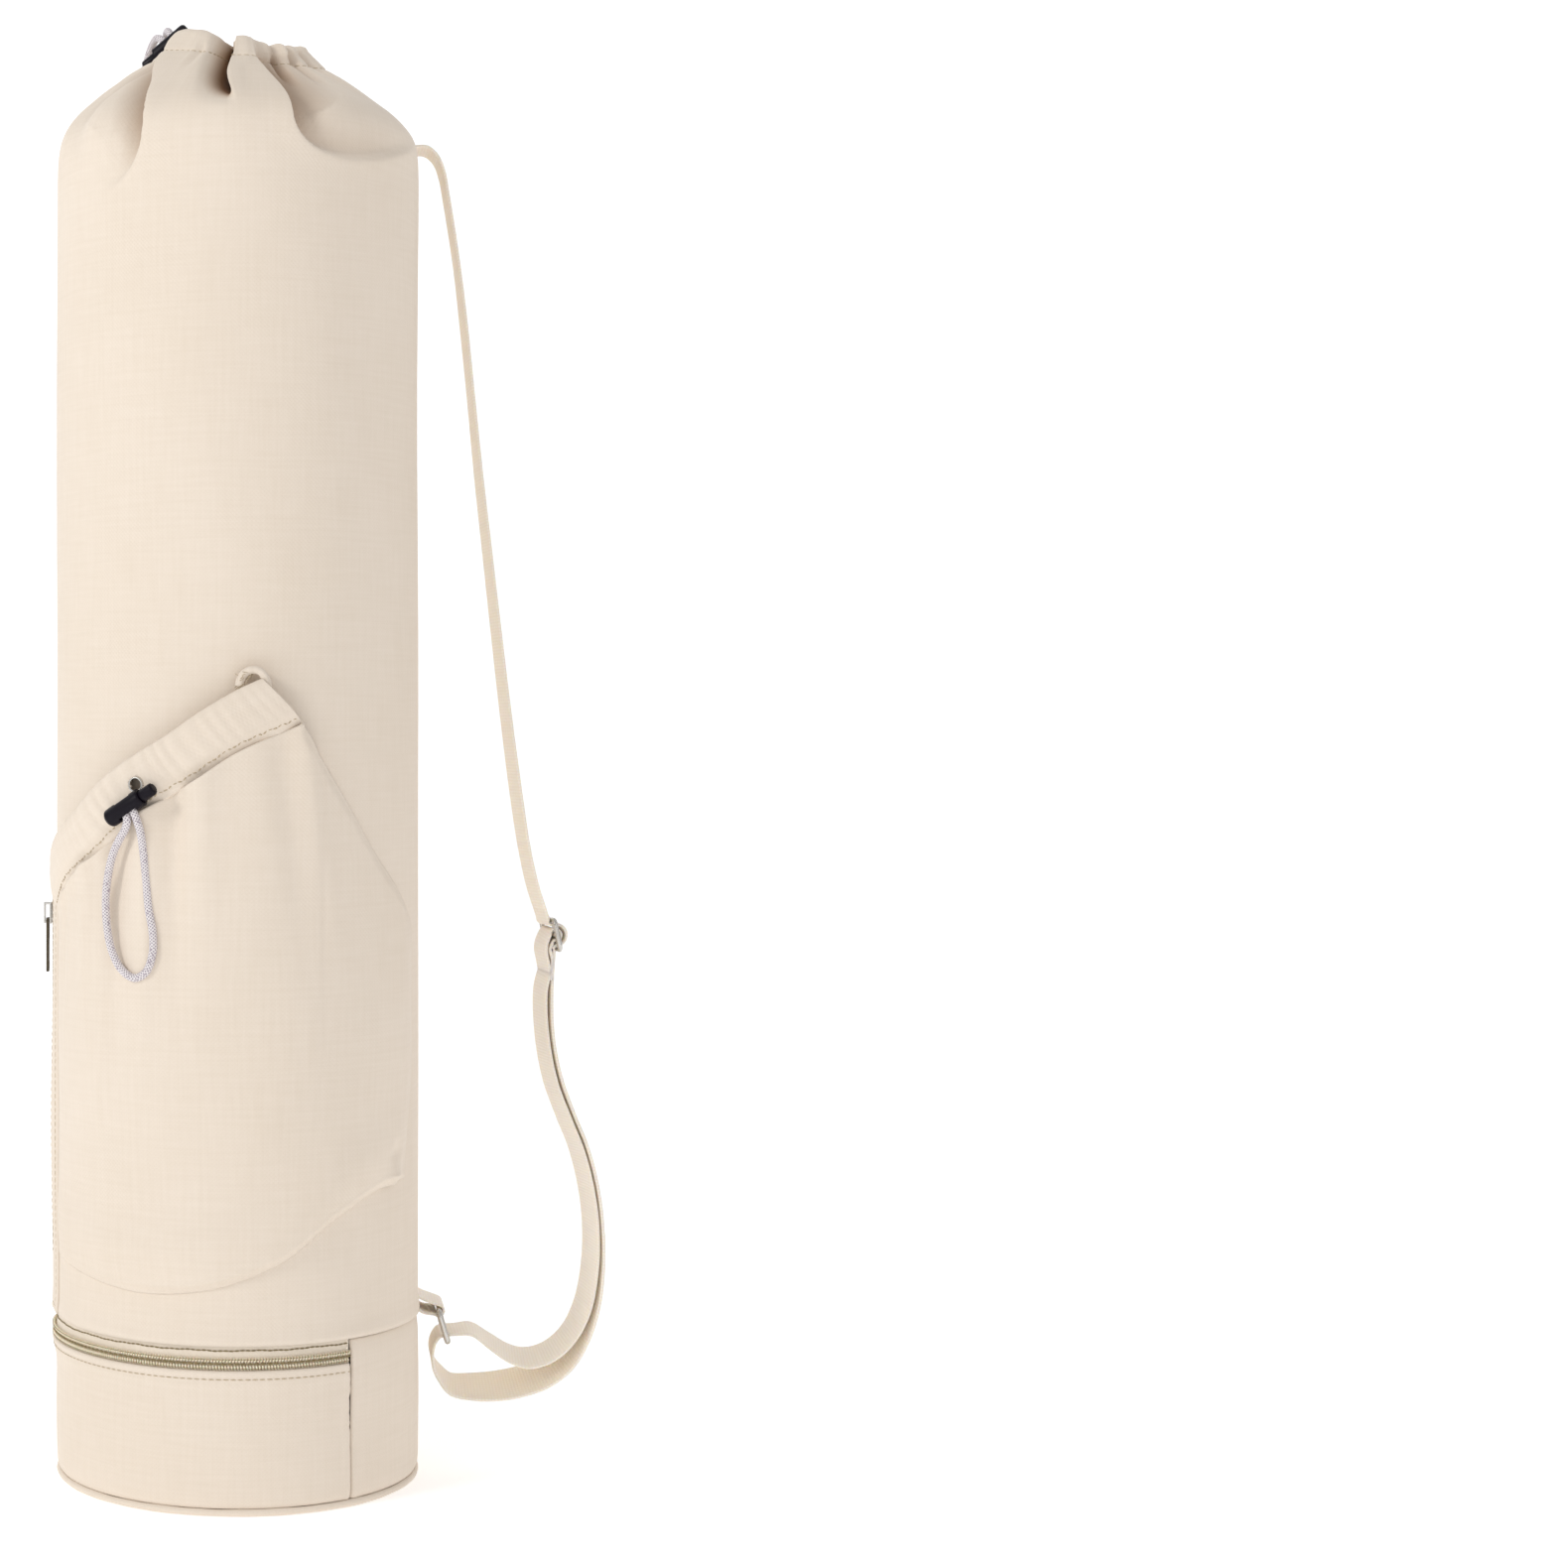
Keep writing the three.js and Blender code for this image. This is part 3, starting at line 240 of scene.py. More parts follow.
def carried(path, section, side, closed_path=False):
    """A profile carried along a path. section is (k, 2) across and out, side the across direction."""
    if closed_path:
        along = unit(np.roll(path, -1, 0) - np.roll(path, 1, 0))
    else:
        along = unit(np.gradient(path, axis=0))
    across = unit(side - (side * along).sum(-1, keepdims=True) * along)
    out = np.cross(along, across)
    return path[:, None] + section[None, :, :1] * across[:, None] + section[None, :, 1:] * out[:, None]


def turning_side(path, start):
    """A side direction carried along a path without twist, by taking out what each step turns."""
    along = unit(np.gradient(path, axis=0))
    sides = [unit(np.asarray(start, float))]
    for tangent in along:
        last = sides[-1]
        sides.append(unit(last - (last @ tangent) * tangent))
    return np.array(sides[1:])


def round_section(radius, sides):
    """A circle as points across and out."""
    turn = ring(sides)
    return radius * stacked(np.cos(turn), np.sin(turn))


def rod(path, radius, sides, start):
    """A round rod on a path, as points and faces, with closed ends. Its section begins at the side start."""
    grid = carried(path, round_section(radius, sides), turning_side(path, start))
    return grid.reshape(-1, 3), tube_faces(len(path), sides)[0]


# %% [markdown]
# ## Helpers for finishes
# Colours are written as the eye names them, in sRGB hex, and turned to linear here. Each finish is named
# for what the real part is made of.


# %% Colour and node helpers
def linear(code):
    """A linear colour from sRGB hex: a channel below 0.04045 is divided by 12.92, the rest take a power."""
    c = np.array([int(code[i : i + 2], 16) for i in (1, 3, 5)]) / 255
    c = np.where(c <= 0.04045, c / 12.92, ((c + 0.055) / 1.055) ** 2.4)
    return (*c.tolist(), 1.0)


def new_finish(name):
    """An empty material, its nodes and their one Principled shader."""
    material = bpy.data.materials.new(name)
    material.use_nodes = True
    return material, material.node_tree, material.node_tree.nodes["Principled BSDF"]


def put(tree, node, links=(), **values):
    """Sets a node's input values and links (input, node, output) to it."""
    for key, value in values.items():
        node.inputs[key.replace("_", " ")].default_value = value
    for into, other, out in links:
        tree.links.new(other.outputs[out], node.inputs[into])
    return node


def add(tree, kind, links=(), settings=(), **values):
    """Adds a node with its options, input values and links."""
    node = tree.nodes.new("ShaderNode" + kind)
    for key, value in dict(settings).items():
        setattr(node, key, value)
    return put(tree, node, links, **values)


def combine(tree, operation, *terms):
    """A sum or product, say, of numbers and (node, output) pairs."""
    node = add(tree, "Math", settings={"operation": operation})
    for into, term in zip(node.inputs, terms):
        if isinstance(term, tuple):
            tree.links.new(term[0].outputs[term[1]], into)
        else:
            into.default_value = term
    return node


def ramp(tree, source, out, low, high, to_low, to_high, **settings):
    """A node's output taken from the range low to high to another range."""
    return add(
        tree, "MapRange", [("Value", source, out)], settings,
        From_Min=low, From_Max=high, To_Min=to_low, To_Max=to_high,
    )


def tones(tree, share, out, light, dark):
    """A colour from light to dark as a node's output goes from 0 to 1. light can be a colour node."""
    mixed = add(tree, "MixRGB", [("Fac", share, out)], Color2=linear(dark))
    if isinstance(light, str):
        return put(tree, mixed, Color1=linear(light))
    return put(tree, mixed, [("Color1", light, "Color")])


def relief(tree, source, out, strength, high):
    """Fine relief from a node's output, high being its height in mm."""
    return add(tree, "Bump", [("Height", source, out)], Strength=strength, Distance=high * MM)


def mottled(name, scale, detail, light, dark, gloss=None, grain=None, **inputs):
    """A finish whose colour wanders from light to dark with a noise.

    gloss maps the noise to the roughness, and grain is the scale of a second noise that is a fine relief.
    """
    material, tree, shader = new_finish(name)
    place = add(tree, "TexCoord")
    noise = add(tree, "TexNoise", [("Vector", place, "Object")], Scale=scale, Detail=detail)
    put(tree, shader, [("Base Color", tones(tree, noise, "Fac", light, dark), "Color")], **inputs)
    if gloss:
        put(tree, shader, [("Roughness", ramp(tree, noise, "Fac", *gloss), "Result")])
    if grain:
        fine = add(tree, "TexNoise", [("Vector", place, "Object")], Scale=grain, Detail=2.0)
        put(tree, shader, [("Normal", relief(tree, fine, "Fac", 0.15, 0.03), "Normal")])
    return material


def cloth_uv(tree):
    """The cloth's own measure, in millimetres."""
    return add(tree, "UVMap", settings={"uv_map": "cloth"})


def drawn_noise(tree, uv, stretch, detail, **values):
    """Noise on the cloth's UV, drawn out the way in which its stretch is small."""
    drawn = add(tree, "Mapping", [("Vector", uv, "UV")], Scale=stretch)
    return add(tree, "TexNoise", [("Vector", drawn, "Vector")], Scale=1.0, Detail=detail, **values)


def wave_scale(period):
    """The Scale of a wave texture that repeats after a period in mm: its phase is 20 times Scale times x."""
    return 2 * math.pi / 20 / period


# %% [markdown]
# ## Camera
# The picture is taken level, at half the bag's height, from 1.4 m. The bag stands at the left of a square
# frame, so the lens is shifted and the camera looks straight ahead, which keeps the tube's sides upright.

# %% Camera
EYE_DISTANCE = 1400  # mm from the bag's axis
EYE_HEIGHT = 369
PICTURE = 1580  # pixels on a side
PIXEL = 0.474  # mm of the axis plane in one pixel
AXIS_COLUMN, HORIZON_ROW = 239.5, 700
SENSOR = 36  # mm across

camera_data = bpy.data.cameras.new("camera")
camera_data.sensor_width = SENSOR
camera_data.lens = SENSOR * EYE_DISTANCE / PIXEL / PICTURE
camera_data.shift_x = (PICTURE / 2 - AXIS_COLUMN) / PICTURE
camera_data.shift_y = (HORIZON_ROW - PICTURE / 2) / PICTURE
camera = bpy.data.objects.new("camera", camera_data)
camera.location = (0, -EYE_DISTANCE * MM, EYE_HEIGHT * MM)
camera.rotation_euler = (math.pi / 2, 0, 0)
scene.collection.objects.link(camera)
scene.camera = camera
print("lens", round(camera_data.lens, 1), "mm")

# %% [markdown]
# ## Drawcord finish
# The cords are polyester braid, white with grey violet flecks. A braid is two sets of strands that wind
# opposite ways, so its pattern is two slanted waves on the cord's own UV, and the flecks colour one strand
# in a few.

# %% Braided cord
CORD_RADIUS = 1.83
STRAND = 1.15  # mm between strands, drawn a little coarser than real so that it shows
WIND = 0.9  # radians between the strands and the cord


def braided_cord():
    """The strands are the higher of two crossing waves, and a groove lies where both are low, darkened with
    painted shade.
    """
    material, tree, shader = new_finish("flecked_polyester_braid")
    uv = cloth_uv(tree)
    waves = []
    for turn in (WIND, -WIND):
        wound = add(tree, "Mapping", [("Vector", uv, "UV")], Rotation=(0, 0, turn))
        wave = add(tree, "TexWave", [("Vector", wound, "Vector")], Scale=wave_scale(STRAND), Distortion=0.0)
        waves.append((wave, "Fac"))
    braid = combine(tree, "MAXIMUM", *waves)
    stretched = add(tree, "Mapping", [("Vector", uv, "UV")], Rotation=(0, 0, WIND), Scale=(0.9, 0.35, 1))
    flecks = add(tree, "TexVoronoi", [("Vector", stretched, "Vector")], {"feature": "F1"}, Scale=1.0)
    where = ramp(tree, flecks, "Distance", 0.16, 0.3, 0.85, 0.0, interpolation_type="SMOOTHSTEP")
    tone = tones(tree, where, "Result", "#EFEAEB", "#A394A2")
    # Painted shade: the grooves between the strands are darkened to a grey violet.
    shade = tones(tree, ramp(tree, braid, 0, 0.35, 0.85, 0.85, 0.0), "Result", tone, "#857788")
    bump = relief(tree, braid, 0, 0.7, 0.35)
    ends = [("Base Color", shade, "Color"), ("Normal", bump, "Normal")]
    put(tree, shader, ends, Roughness=0.72, Sheen_Weight=0.15)
    return material


cord_finish = braided_cord()

# %% [markdown]
# ## Drawcords
# Each cord is one loop that leaves its lock, hangs under its own weight and goes back in. The pocket's loop
# shows whole. The neck's loop is longer, because the mouth has to open to the tube's full width, and it
# hangs at the back.

# %% Drawcords
POCKET_CORD = [
    (-52.0, -90.5, 319.0), (-50.4, -91.4, 316.5), (-49.4, -92.0, 313.4), (-50.1, -90.5, 309.4),
    (-52.9, -86.9, 304.3), (-55.6, -83.4, 298.5), (-57.8, -80.8, 290.5), (-59.3, -78.9, 279.0),
    (-59.0, -79.0, 266.4), (-56.8, -80.6, 254.5), (-52.3, -83.5, 245.8), (-46.3, -87.0, 242.1),
    (-41.0, -89.6, 245.0), (-38.0, -91.0, 253.5), (-38.0, -91.0, 263.0), (-39.8, -90.4, 273.5),
    (-41.0, -90.1, 287.0), (-42.2, -90.6, 299.0), (-43.5, -91.9, 308.0), (-45.4, -93.2, 314.2),
    (-46.9, -93.2, 317.6), (-48.9, -92.2, 321.3),
]
NECK_CORD = [
    (-29.3, 6.8, 681.5), (-30.9, 8.5, 684.1), (-32.4, 10.4, 686.7), (-33.6, 13.8, 688.9),
    (-34.4, 19.0, 689.2), (-35.2, 25.5, 686.5), (-36.0, 32.5, 681.3), (-36.6, 41.0, 674.2),
    (-37.0, 50.5, 666.5), (-37.2, 60.0, 658.6), (-37.2, 69.5, 650.0), (-37.0, 77.0, 640.0),
    (-36.8, 80.9, 627.0), (-36.8, 80.9, 600.0), (-36.8, 80.9, 572.0), (-37.8, 80.4, 556.0),
    (-41.0, 78.9, 548.6), (-45.4, 76.4, 545.8), (-49.8, 73.6, 548.6), (-52.6, 71.6, 556.0),
    (-53.4, 71.1, 575.0), (-53.4, 71.1, 605.0), (-53.2, 71.2, 627.0), (-52.6, 68.0, 640.0),
    (-51.4, 60.7, 651.0), (-49.8, 52.0, 659.6), (-47.8, 43.5, 667.2), (-45.6, 35.0, 674.2),
    (-43.4, 27.0, 680.2), (-41.0, 20.2, 684.4), (-38.9, 14.9, 685.8), (-36.6, 11.8, 684.4),
    (-34.4, 9.3, 681.2), (-32.8, 7.6, 678.6),
]


def drawcord(name, route, node, rows, sides=20):
    path = spline(route, rows)
    points, faces = rod(path, CORD_RADIUS, sides, (1, 0, 0))
    uv = stacked(np.linspace(0, 2 * np.pi * CORD_RADIUS, sides + 1)[None], run_of(path)[:, None])
    mesh = mesh_of(name, points, faces, uv, tube_faces(rows, sides)[1])
    made = piece(mesh, cord_finish, replaces=[node])


drawcord("pocket_drawcord", POCKET_CORD, "pocket_cord", 180)
drawcord("neck_drawcord", NECK_CORD, "neck_cord", 300)

# %% [markdown]
# ## Canvas
# Unbleached cotton canvas is a plain weave of thick yarn: matt, slightly uneven, warm off-white. The weave
# is the product of two waves on the cloth's UV. Real yarns here are about 0.6 mm apart, and they are drawn
# at 0.95 mm so that they show. Slubs are noise drawn out along the yarn, and a soft large noise keeps the
# panels from being flat.

# %% Canvas
YARN = 0.95  # mm between yarns as drawn


def canvas_finish(name, tone, yarn=YARN, dark="#CFBEA6"):
    """The weave is sin(x) sin(y) of the cloth's UV: it lifts the yarns, and painted shade darkens the gaps
    between them.
    """
    material, tree, shader = new_finish(name)
    uv = cloth_uv(tree)
    yarns = []
    for axis in "XY":
        wave = add(
            tree, "TexWave", [("Vector", uv, "UV")], {"bands_direction": axis},
            Scale=wave_scale(2 * yarn), Distortion=0.6, Detail=1.0, Detail_Scale=0.4,
        )
        yarns.append((ramp(tree, wave, "Fac", 0.0, 1.0, -1.0, 1.0, clamp=False), 0))
    weave = combine(tree, "MULTIPLY", *yarns)
    weftwise = drawn_noise(tree, uv, (0.55, 0.03, 1), 3.0, Roughness=0.6)
    warpwise = drawn_noise(tree, uv, (0.03, 0.55, 1), 3.0, Roughness=0.6)
    slub = combine(tree, "ADD", (weftwise, "Fac"), (warpwise, "Fac"))
    cloud = drawn_noise(tree, uv, (0.012, 0.008, 1), 2.0)
    bump = relief(tree, combine(tree, "MULTIPLY_ADD", (weave, 0), 0.5, (slub, 0)), 0, 0.42, 0.1)
    speckle = ramp(tree, slub, 0, 0.75, 1.3, 0.0, 0.15)
    drift = ramp(tree, cloud, "Fac", 0.3, 0.7, 0.0, 0.14)
    # Painted shade: darker in the gaps between the yarns.
    valley = ramp(tree, weave, 0, -1.0, 0.2, 0.07, 0.0)
    total = combine(tree, "ADD", (combine(tree, "ADD", (speckle, 0), (drift, 0)), 0), (valley, 0))
    colour = tones(tree, total, 0, tone, dark)
    # Painted shade: down in a fold the colour is turned browner, standing in for light that has bounced from
    # cloth to cloth there.
    fold = add(tree, "Attribute", settings={"attribute_name": "fold_depth"})
    colour = tones(tree, ramp(tree, fold, "Fac", 0.12, 0.95, 0.0, 0.95), 0, colour, "#84571E")
    ends = [("Base Color", colour, "Color"), ("Normal", bump, "Normal")]
    put(tree, shader, ends, Roughness=0.9, Specular_IOR_Level=0.25, Sheen_Weight=0.12, Sheen_Roughness=0.5)
    return material


canvas = canvas_finish("unbleached_cotton_canvas", "#EBDFD1")
tape_cloth = canvas_finish("woven_zip_tape", "#F0E5D6", yarn=0.6, dark="#C6B598")
# Spun polyester sewing thread with a faint gloss, a tone darker than the canvas: partly the thread's own
# tone, partly painted shade for the needle holes it lies in.
thread = mottled("spun_sewing_thread", 1400.0, 2.0, "#D6C7AC", "#9C8867", Roughness=0.6)


def cloth(mesh, thickness, replaces=(), material=canvas):
    """A piece of cloth from a mesh of one face. Its thickness, in mm, lies behind that face's normals."""
    wall = piece(mesh, material, replaces=replaces).modifiers.new("wall", "SOLIDIFY")
    wall.thickness = thickness * MM
    wall.offset = -1


def sewn(name, parts, material=thread, replaces=()):
    """A piece of many small parts, such as stitches."""
    piece(joined(name, parts), material, replaces=replaces)


# %% [markdown]
# ## Tube and gathered neck
# The tube is one piece of canvas, sewn round the foot and drawn shut at the top by the cord in its casing.
# Drawing it in makes a few deep valleys with broad lobes between them, small ruffles in the casing, and one
# sharp crease at the right, where a lobe laps over a flat panel. The surface is a profile turned round the
# axis. Each valley moves it inwards by a smooth groove across the cloth, and near a lap it also moves the
# cloth sideways, so that it folds over.

# %% The tube's profile
TUBE_RADIUS = 86
SEAM_HEIGHT = 76
PROFILE = np.array([  # radius and height, from the sewn edge up to the mouth and down inside the casing
    (84.9, 76.3), (85.6, 76.0), (86.4, 76.5), (86.7, 78.0), (86.5, 80.5), (86.05, 84.0), (86, 92),
    (86, 200), (86, 330), (86, 460), (86, 560), (86, 600), (85.9, 615), (85.4, 624), (84.0, 631),
    (80.6, 637.5), (75.6, 643.5), (68.5, 650.0), (60.6, 657.0), (52.5, 663.6), (44.6, 669.4), (38.4, 674.0),
    (34.2, 678.2), (31.8, 681.0), (29.2, 682.0), (27.2, 680.6), (26.8, 677.5), (28.4, 672.5), (32.0, 667.5),
])
profile_fine = spline(PROFILE, 2400)
profile_run = run_of(profile_fine)
rising = np.argmax(profile_fine[:, 1]) + 1  # the part of the profile that goes up to the top edge
MOUTH = profile_run[rising - 1]  # length along the cloth at the top edge
CASING = 17.0  # mm from the top edge down to the casing's seam
print("cloth from seam to top edge", round(MOUTH, 1), "mm")

# %% Valleys of the gather
# at_top and at_low are the angles of a valley's bottom line at the top edge and where it runs out, in
# degrees. ends is the height where it runs out, deep, left and right are in mm, cusp is how much of it is a
# sharp crack, and lap is how far the lobe at its right moves over it, in degrees.
VALLEYS = [
    (-70, -60, 612, 5.0, 16, 14, 0.1, 0.0),
    (-4.5, -3.5, 634, 44.0, 17, 5.0, 0.5, -4.5),
    (33, 27, 648, 5.5, 6.0, 7.0, 0.4, -1.5),
    (49, 42, 651, 4.2, 5.0, 6.0, 0.4, 0.0),
    (66, 62, 645, 4.5, 7.0, 7.0, 0.3, 0.0),
    (99, 104, 612, 9.5, 15, 12, 0.2, 3.0),
    (121, 122, 650, 4.5, 6.0, 6.0, 0.4, 0.0),
    (141, 136, 608, 11.5, 14, 15, 0.4, -2.5),
    (166, 169, 640, 6.5, 9.0, 8.0, 0.3, 0.0),
    (-168, -170, 616, 10.5, 15, 13, 0.4, 2.5),
    (-146, -150, 648, 4.5, 7.0, 6.0, 0.4, 0.0),
    (-128, -124, 612, 10.5, 14, 14, 0.35, -3.0),
    (-104, -103, 634, 7.5, 9.0, 8.0, 0.2, 0.0),
    (-82, -80, 652, 3.0, 6.0, 6.0, 0.3, 0.0),
    (-24, -25, 655, 3.0, 4.5, 4.5, 0.4, 0.0),
    (2, 1, 660, 2.2, 3.0, 3.0, 0.5, 0.0),
]
# Two lobes lap over the cloth beside them, each along a line of angles and heights. The third number is the
# depth of the step in mm.
RIGHT_LAP = spline([
    (10, 681, 3), (9, 671, 8), (11, 661, 13), (13.5, 651, 15), (15, 640, 14), (16, 627, 10.5),
    (19.5, 619.5, 8), (25, 614.5, 6.4), (33, 612, 5.2), (42, 612.5, 4.6), (53, 615.5, 4.0), (64, 620, 3.0),
    (75, 625, 1.4), (86, 629, 0),
], 36)
LEFT_LAP = spline([
    (-62, 682, 0), (-55, 675, 5), (-48, 668, 11), (-41, 661, 16), (-34.5, 653, 18.5), (-31, 644, 18.5),
    (-29, 635, 16), (-28.5, 624, 11.5), (-31, 613, 6.5), (-36, 604, 2.8), (-44, 597, 0),
], 30)
NECK_TIP = 7.0  # mm by which the front of the mouth hangs lower than its sides
GATHERED = 677  # height at which each valley has its full share
LEAN_OUT, LEAN_OVER = 1.3, 2.3  # mm by which the rim of a lap bulges and leans over its step


def gather(angle, z, radius):
    """How far the gather moves the cloth inwards in mm and sideways in degrees, at an angle and a height."""
    inwards = np.zeros_like(angle)
    sideways = np.zeros_like(angle)
    scale = np.radians(1) * radius
    for at_top, at_low, ends, deep, left, right, cusp, lap in VALLEYS:
        share = np.clip((z - ends) / (GATHERED - ends), 0, 1.1)
        at = at_low + (at_top - at_low) * share
        off = ((angle - at + 180) % 360 - 180) * scale
        narrow = 0.5 + 0.5 * radius / TUBE_RADIUS
        v = np.clip(off / (np.where(off < 0, left, right) * narrow), -2.5, 2.5)
        near = np.clip(np.abs(v), 0, 1)
        groove = (1 - cusp) * (0.5 + 0.5 * np.cos(np.pi * near)) + cusp * (1 - near) ** 1.7
        grows = smooth(share / 0.62) * (1 - 0.38 * smooth((share - 0.78) / 0.22))
        puff = 0.13 * bell(np.abs(v) - 1.2, 0.42) * min(1, 12 / deep)
        inwards += deep * grows * (groove - puff)
        side = -np.sign(lap) if lap else 1
        sideways += lap * grows * bell(v - side * 0.95, 0.42)
    return inwards, sideways


def lap_fold(angle, z, radius, line, side, reach):
    """The step where a lobe laps over the cloth beside it. side is 1 where that cloth lies to the right.

    The distance to the line is taken in mm. The cloth beside the lobe falls away within 2.8 mm of the line
    and comes back over the length reach, and the lobe's rim bulges a little and leans over the step.
    """
    scale = np.radians(1) * np.clip(radius, 30, TUBE_RADIUS)
    line_scale = np.radians(1) * np.interp(line[:, 1], profile_fine[:rising, 1], profile_fine[:rising, 0])
    x, y = angle * scale, z
    px, py, deep = line[:, 0] * line_scale, line[:, 1], line[:, 2]
    nearest, depth, where = np.full(angle.shape, 1e9), np.zeros(angle.shape), np.ones(angle.shape)
    for i in range(len(px) - 1):
        dx, dy = px[i + 1] - px[i], py[i + 1] - py[i]
        t = np.clip(((x - px[i]) * dx + (y - py[i]) * dy) / (dx * dx + dy * dy), 0, 1)
        away = np.hypot(x - px[i] - t * dx, y - py[i] - t * dy)
        closer = away < nearest
        nearest = np.where(closer, away, nearest)
        depth = np.where(closer, deep[i] + (deep[i + 1] - deep[i]) * t, depth)
        where = np.where(closer, np.sign(dx * (y - py[i]) - dy * (x - px[i])), where)
    d = nearest * where * side
    beyond = np.maximum(d, 0)
    floor = (1 - bell(beyond, 2.8)) * bell(beyond, reach)
    rim = bell(d, np.where(d <= 0, 6.0, 1.6))
    lean = bell(d, np.where(d <= 0, 5.0, 1.9))
    steep = np.clip(depth / 12, 0, 1)
    sideways = side * LEAN_OVER * steep * lean / np.maximum(scale, 0.3)
    return depth * floor - LEAN_OUT * steep * rim, sideways


# %% The tube's surface
def tube_points(angle, run):
    """Points of the tube at angles and lengths along its profile, and how deep in a fold they are, 0 to 1."""
    radius = np.interp(run, profile_run, profile_fine[:, 0])
    z = np.interp(run, profile_run, profile_fine[:, 1])
    angle, radius, z = np.broadcast_arrays(angle, radius, z)
    down = MOUTH - run  # length down from the top edge, negative inside the casing
    inwards, sideways = gather(angle, z, radius)
    for line, side, reach in ((RIGHT_LAP, 1, 26), (LEFT_LAP, -1, 19)):
        step_in, step_side = lap_fold(angle, z, radius, line, side, reach)
        inwards, sideways = inwards + step_in, sideways + step_side
    a = np.radians(angle)
    ruffle = smooth(1 - np.abs(down) / 26) * (
        0.75 * np.sin(23 * a + 1.7 * np.sin(3 * a)) + 0.5 * np.sin(37 * a + 2.2 * np.sin(5 * a + 1))
    )
    puff = 1.5 * np.sin(np.pi * np.clip(down / CASING, 0, 1)) ** 0.8
    pinch = -0.9 * bell(down - CASING, 1.3)
    hand = 0.22 * np.sin(3 * a + z / 70) + 0.18 * np.sin(5 * a - z / 47 + 2) + 0.12 * np.sin(9 * a + z / 31)
    hand = hand * smooth((z - 84) / 60) * (1 - 0.8 * ((z > 90) & (z < 360) & (np.abs(angle) < 80)))
    close = smooth((62 - down) / 40)  # near the mouth the lobes meet, and no fold goes past the axis
    out = radius - inwards + ruffle + puff + pinch + hand
    floor = 14 + 8 * (1 - close)
    out = np.where(out < floor, floor - 0.25 * (floor - out), out)
    rise = 1.6 * smooth((14 - down) / 14) * np.clip(-(inwards - 3) / 6, -1, 1)
    tip = NECK_TIP * np.clip(np.cos(a - math.radians(38)), 0, 1) * smooth((z - 632) / 42)
    return around(angle + sideways, np.maximum(out, 9), z + rise - tip), np.clip(inwards / 20, 0, 1)


def crowded(start, end, count, spots):
    """Places from start to end that crowd round spots, each given as its middle, width and strength."""
    fine = np.linspace(start, end, 4000)
    weight = 1 + sum(more * bell(fine - at, wide) for at, wide, more in spots)
    total = np.concatenate([[0], np.cumsum(weight[1:])])
    return np.interp(np.linspace(0, total[-1], count), total, fine)


COLUMNS = 420
CROWDS = [(-42, 12, 3.0), (-7, 7, 5.0), (15, 8, 6.0), (40, 22, 1.6), (0, 95, 0.7)]
columns = crowded(-180, 180, COLUMNS + 1, CROWDS)
shoulder = np.interp(596, profile_fine[:rising, 1], profile_run[:rising])
rows = graded((0, 7), (14, 13), (shoulder, 80), (MOUTH - 4, 14), end=profile_run[-1])
tube_grid, fold_depth = tube_points(columns[None, :-1], rows[:, None])
tube_uv = stacked(np.radians(np.append(columns[:-1], 180))[None] * TUBE_RADIUS, rows[:, None])
tube_cloth = grid_mesh("canvas_tube", tube_grid, tube_uv, wrap=True)
# The fold depth goes on the mesh, where the canvas finish uses it to paint shade into the folds, browner the
# deeper they are.
tube_cloth.attributes.new("fold_depth", "FLOAT", "POINT").data.foreach_set("value", fold_depth.ravel())
cloth(tube_cloth, 1.5, ["body_tube"])

# %% The casing's seam
seam_angle = np.linspace(-180, 180, 1400)
seam_line, seam_above = (tube_points(seam_angle, np.array(MOUTH - CASING + up))[0] for up in (0, 1))
seam_out = unit(np.cross(np.gradient(seam_line, axis=0), seam_above - seam_line))
sewn("casing_stitches", [stitches(seam_line, seam_out, long=2.5, pitch=3.3, thick=0.55)])

# %% [markdown]
# ## Foot of the bag
# Below the bottom zip the bag is a short drum: one canvas band with a turned and topstitched upper edge, a
# panel at the right that stays sewn to the tube and works as the hinge, a piped seam and a round bottom.
# Each wall is a small profile of radius and height turned round the axis. At the left the zip pushes the
# cloth out a little.

# %% Foot
ZIP_HEIGHT = 68.7
ZIP_RIGHT, ZIP_LEFT = 37.0, -191.0  # angles where the zip ends


def zip_bulge(angle, z):
    """The curved zip stands proud on the left, by a bell of 2.2 mm round 92 degrees left, 10 mm high."""
    return 2.2 * bell(angle + 92, 34) * bell(z - ZIP_HEIGHT, 10)


def by_zip(angle, radius, z):
    """Points round the bag that are pushed out as the curved zip is."""
    return around(angle, radius + zip_bulge(angle, z), z)


def drum_wall(name, left, right, profile, cols, count):
    """A profile of radius and height turned from one angle to another, with its upright edges turned in.

    The left or the right angle can be a function of the height.
    """
    line = spline(profile, count)
    share = np.linspace(0, 1, cols)
    z = line[:, 1:]
    start, end = (edge(z) if callable(edge) else edge for edge in (left, right))
    angle = start + (end - start) * share[None]
    a = np.radians(angle)
    hand = 0.25 * np.sin(4 * a + z / 17) + 0.18 * np.sin(7 * a - z / 23 + 1)
    hand = hand * np.sin(np.pi * np.clip((z - 8) / 56, 0, 1))
    mm_in = np.minimum(angle - start, end - angle) * np.radians(1) * TUBE_RADIUS
    turned_in = -0.9 * bell(mm_in, 0.9) + 0.35 * bell(mm_in - 2.4, 1.8)
    radius = line[:, :1] + hand + turned_in + zip_bulge(angle, z)
    return grid_mesh(name, around(angle, radius, z), stacked(a * TUBE_RADIUS, run_of(line)[:, None]))


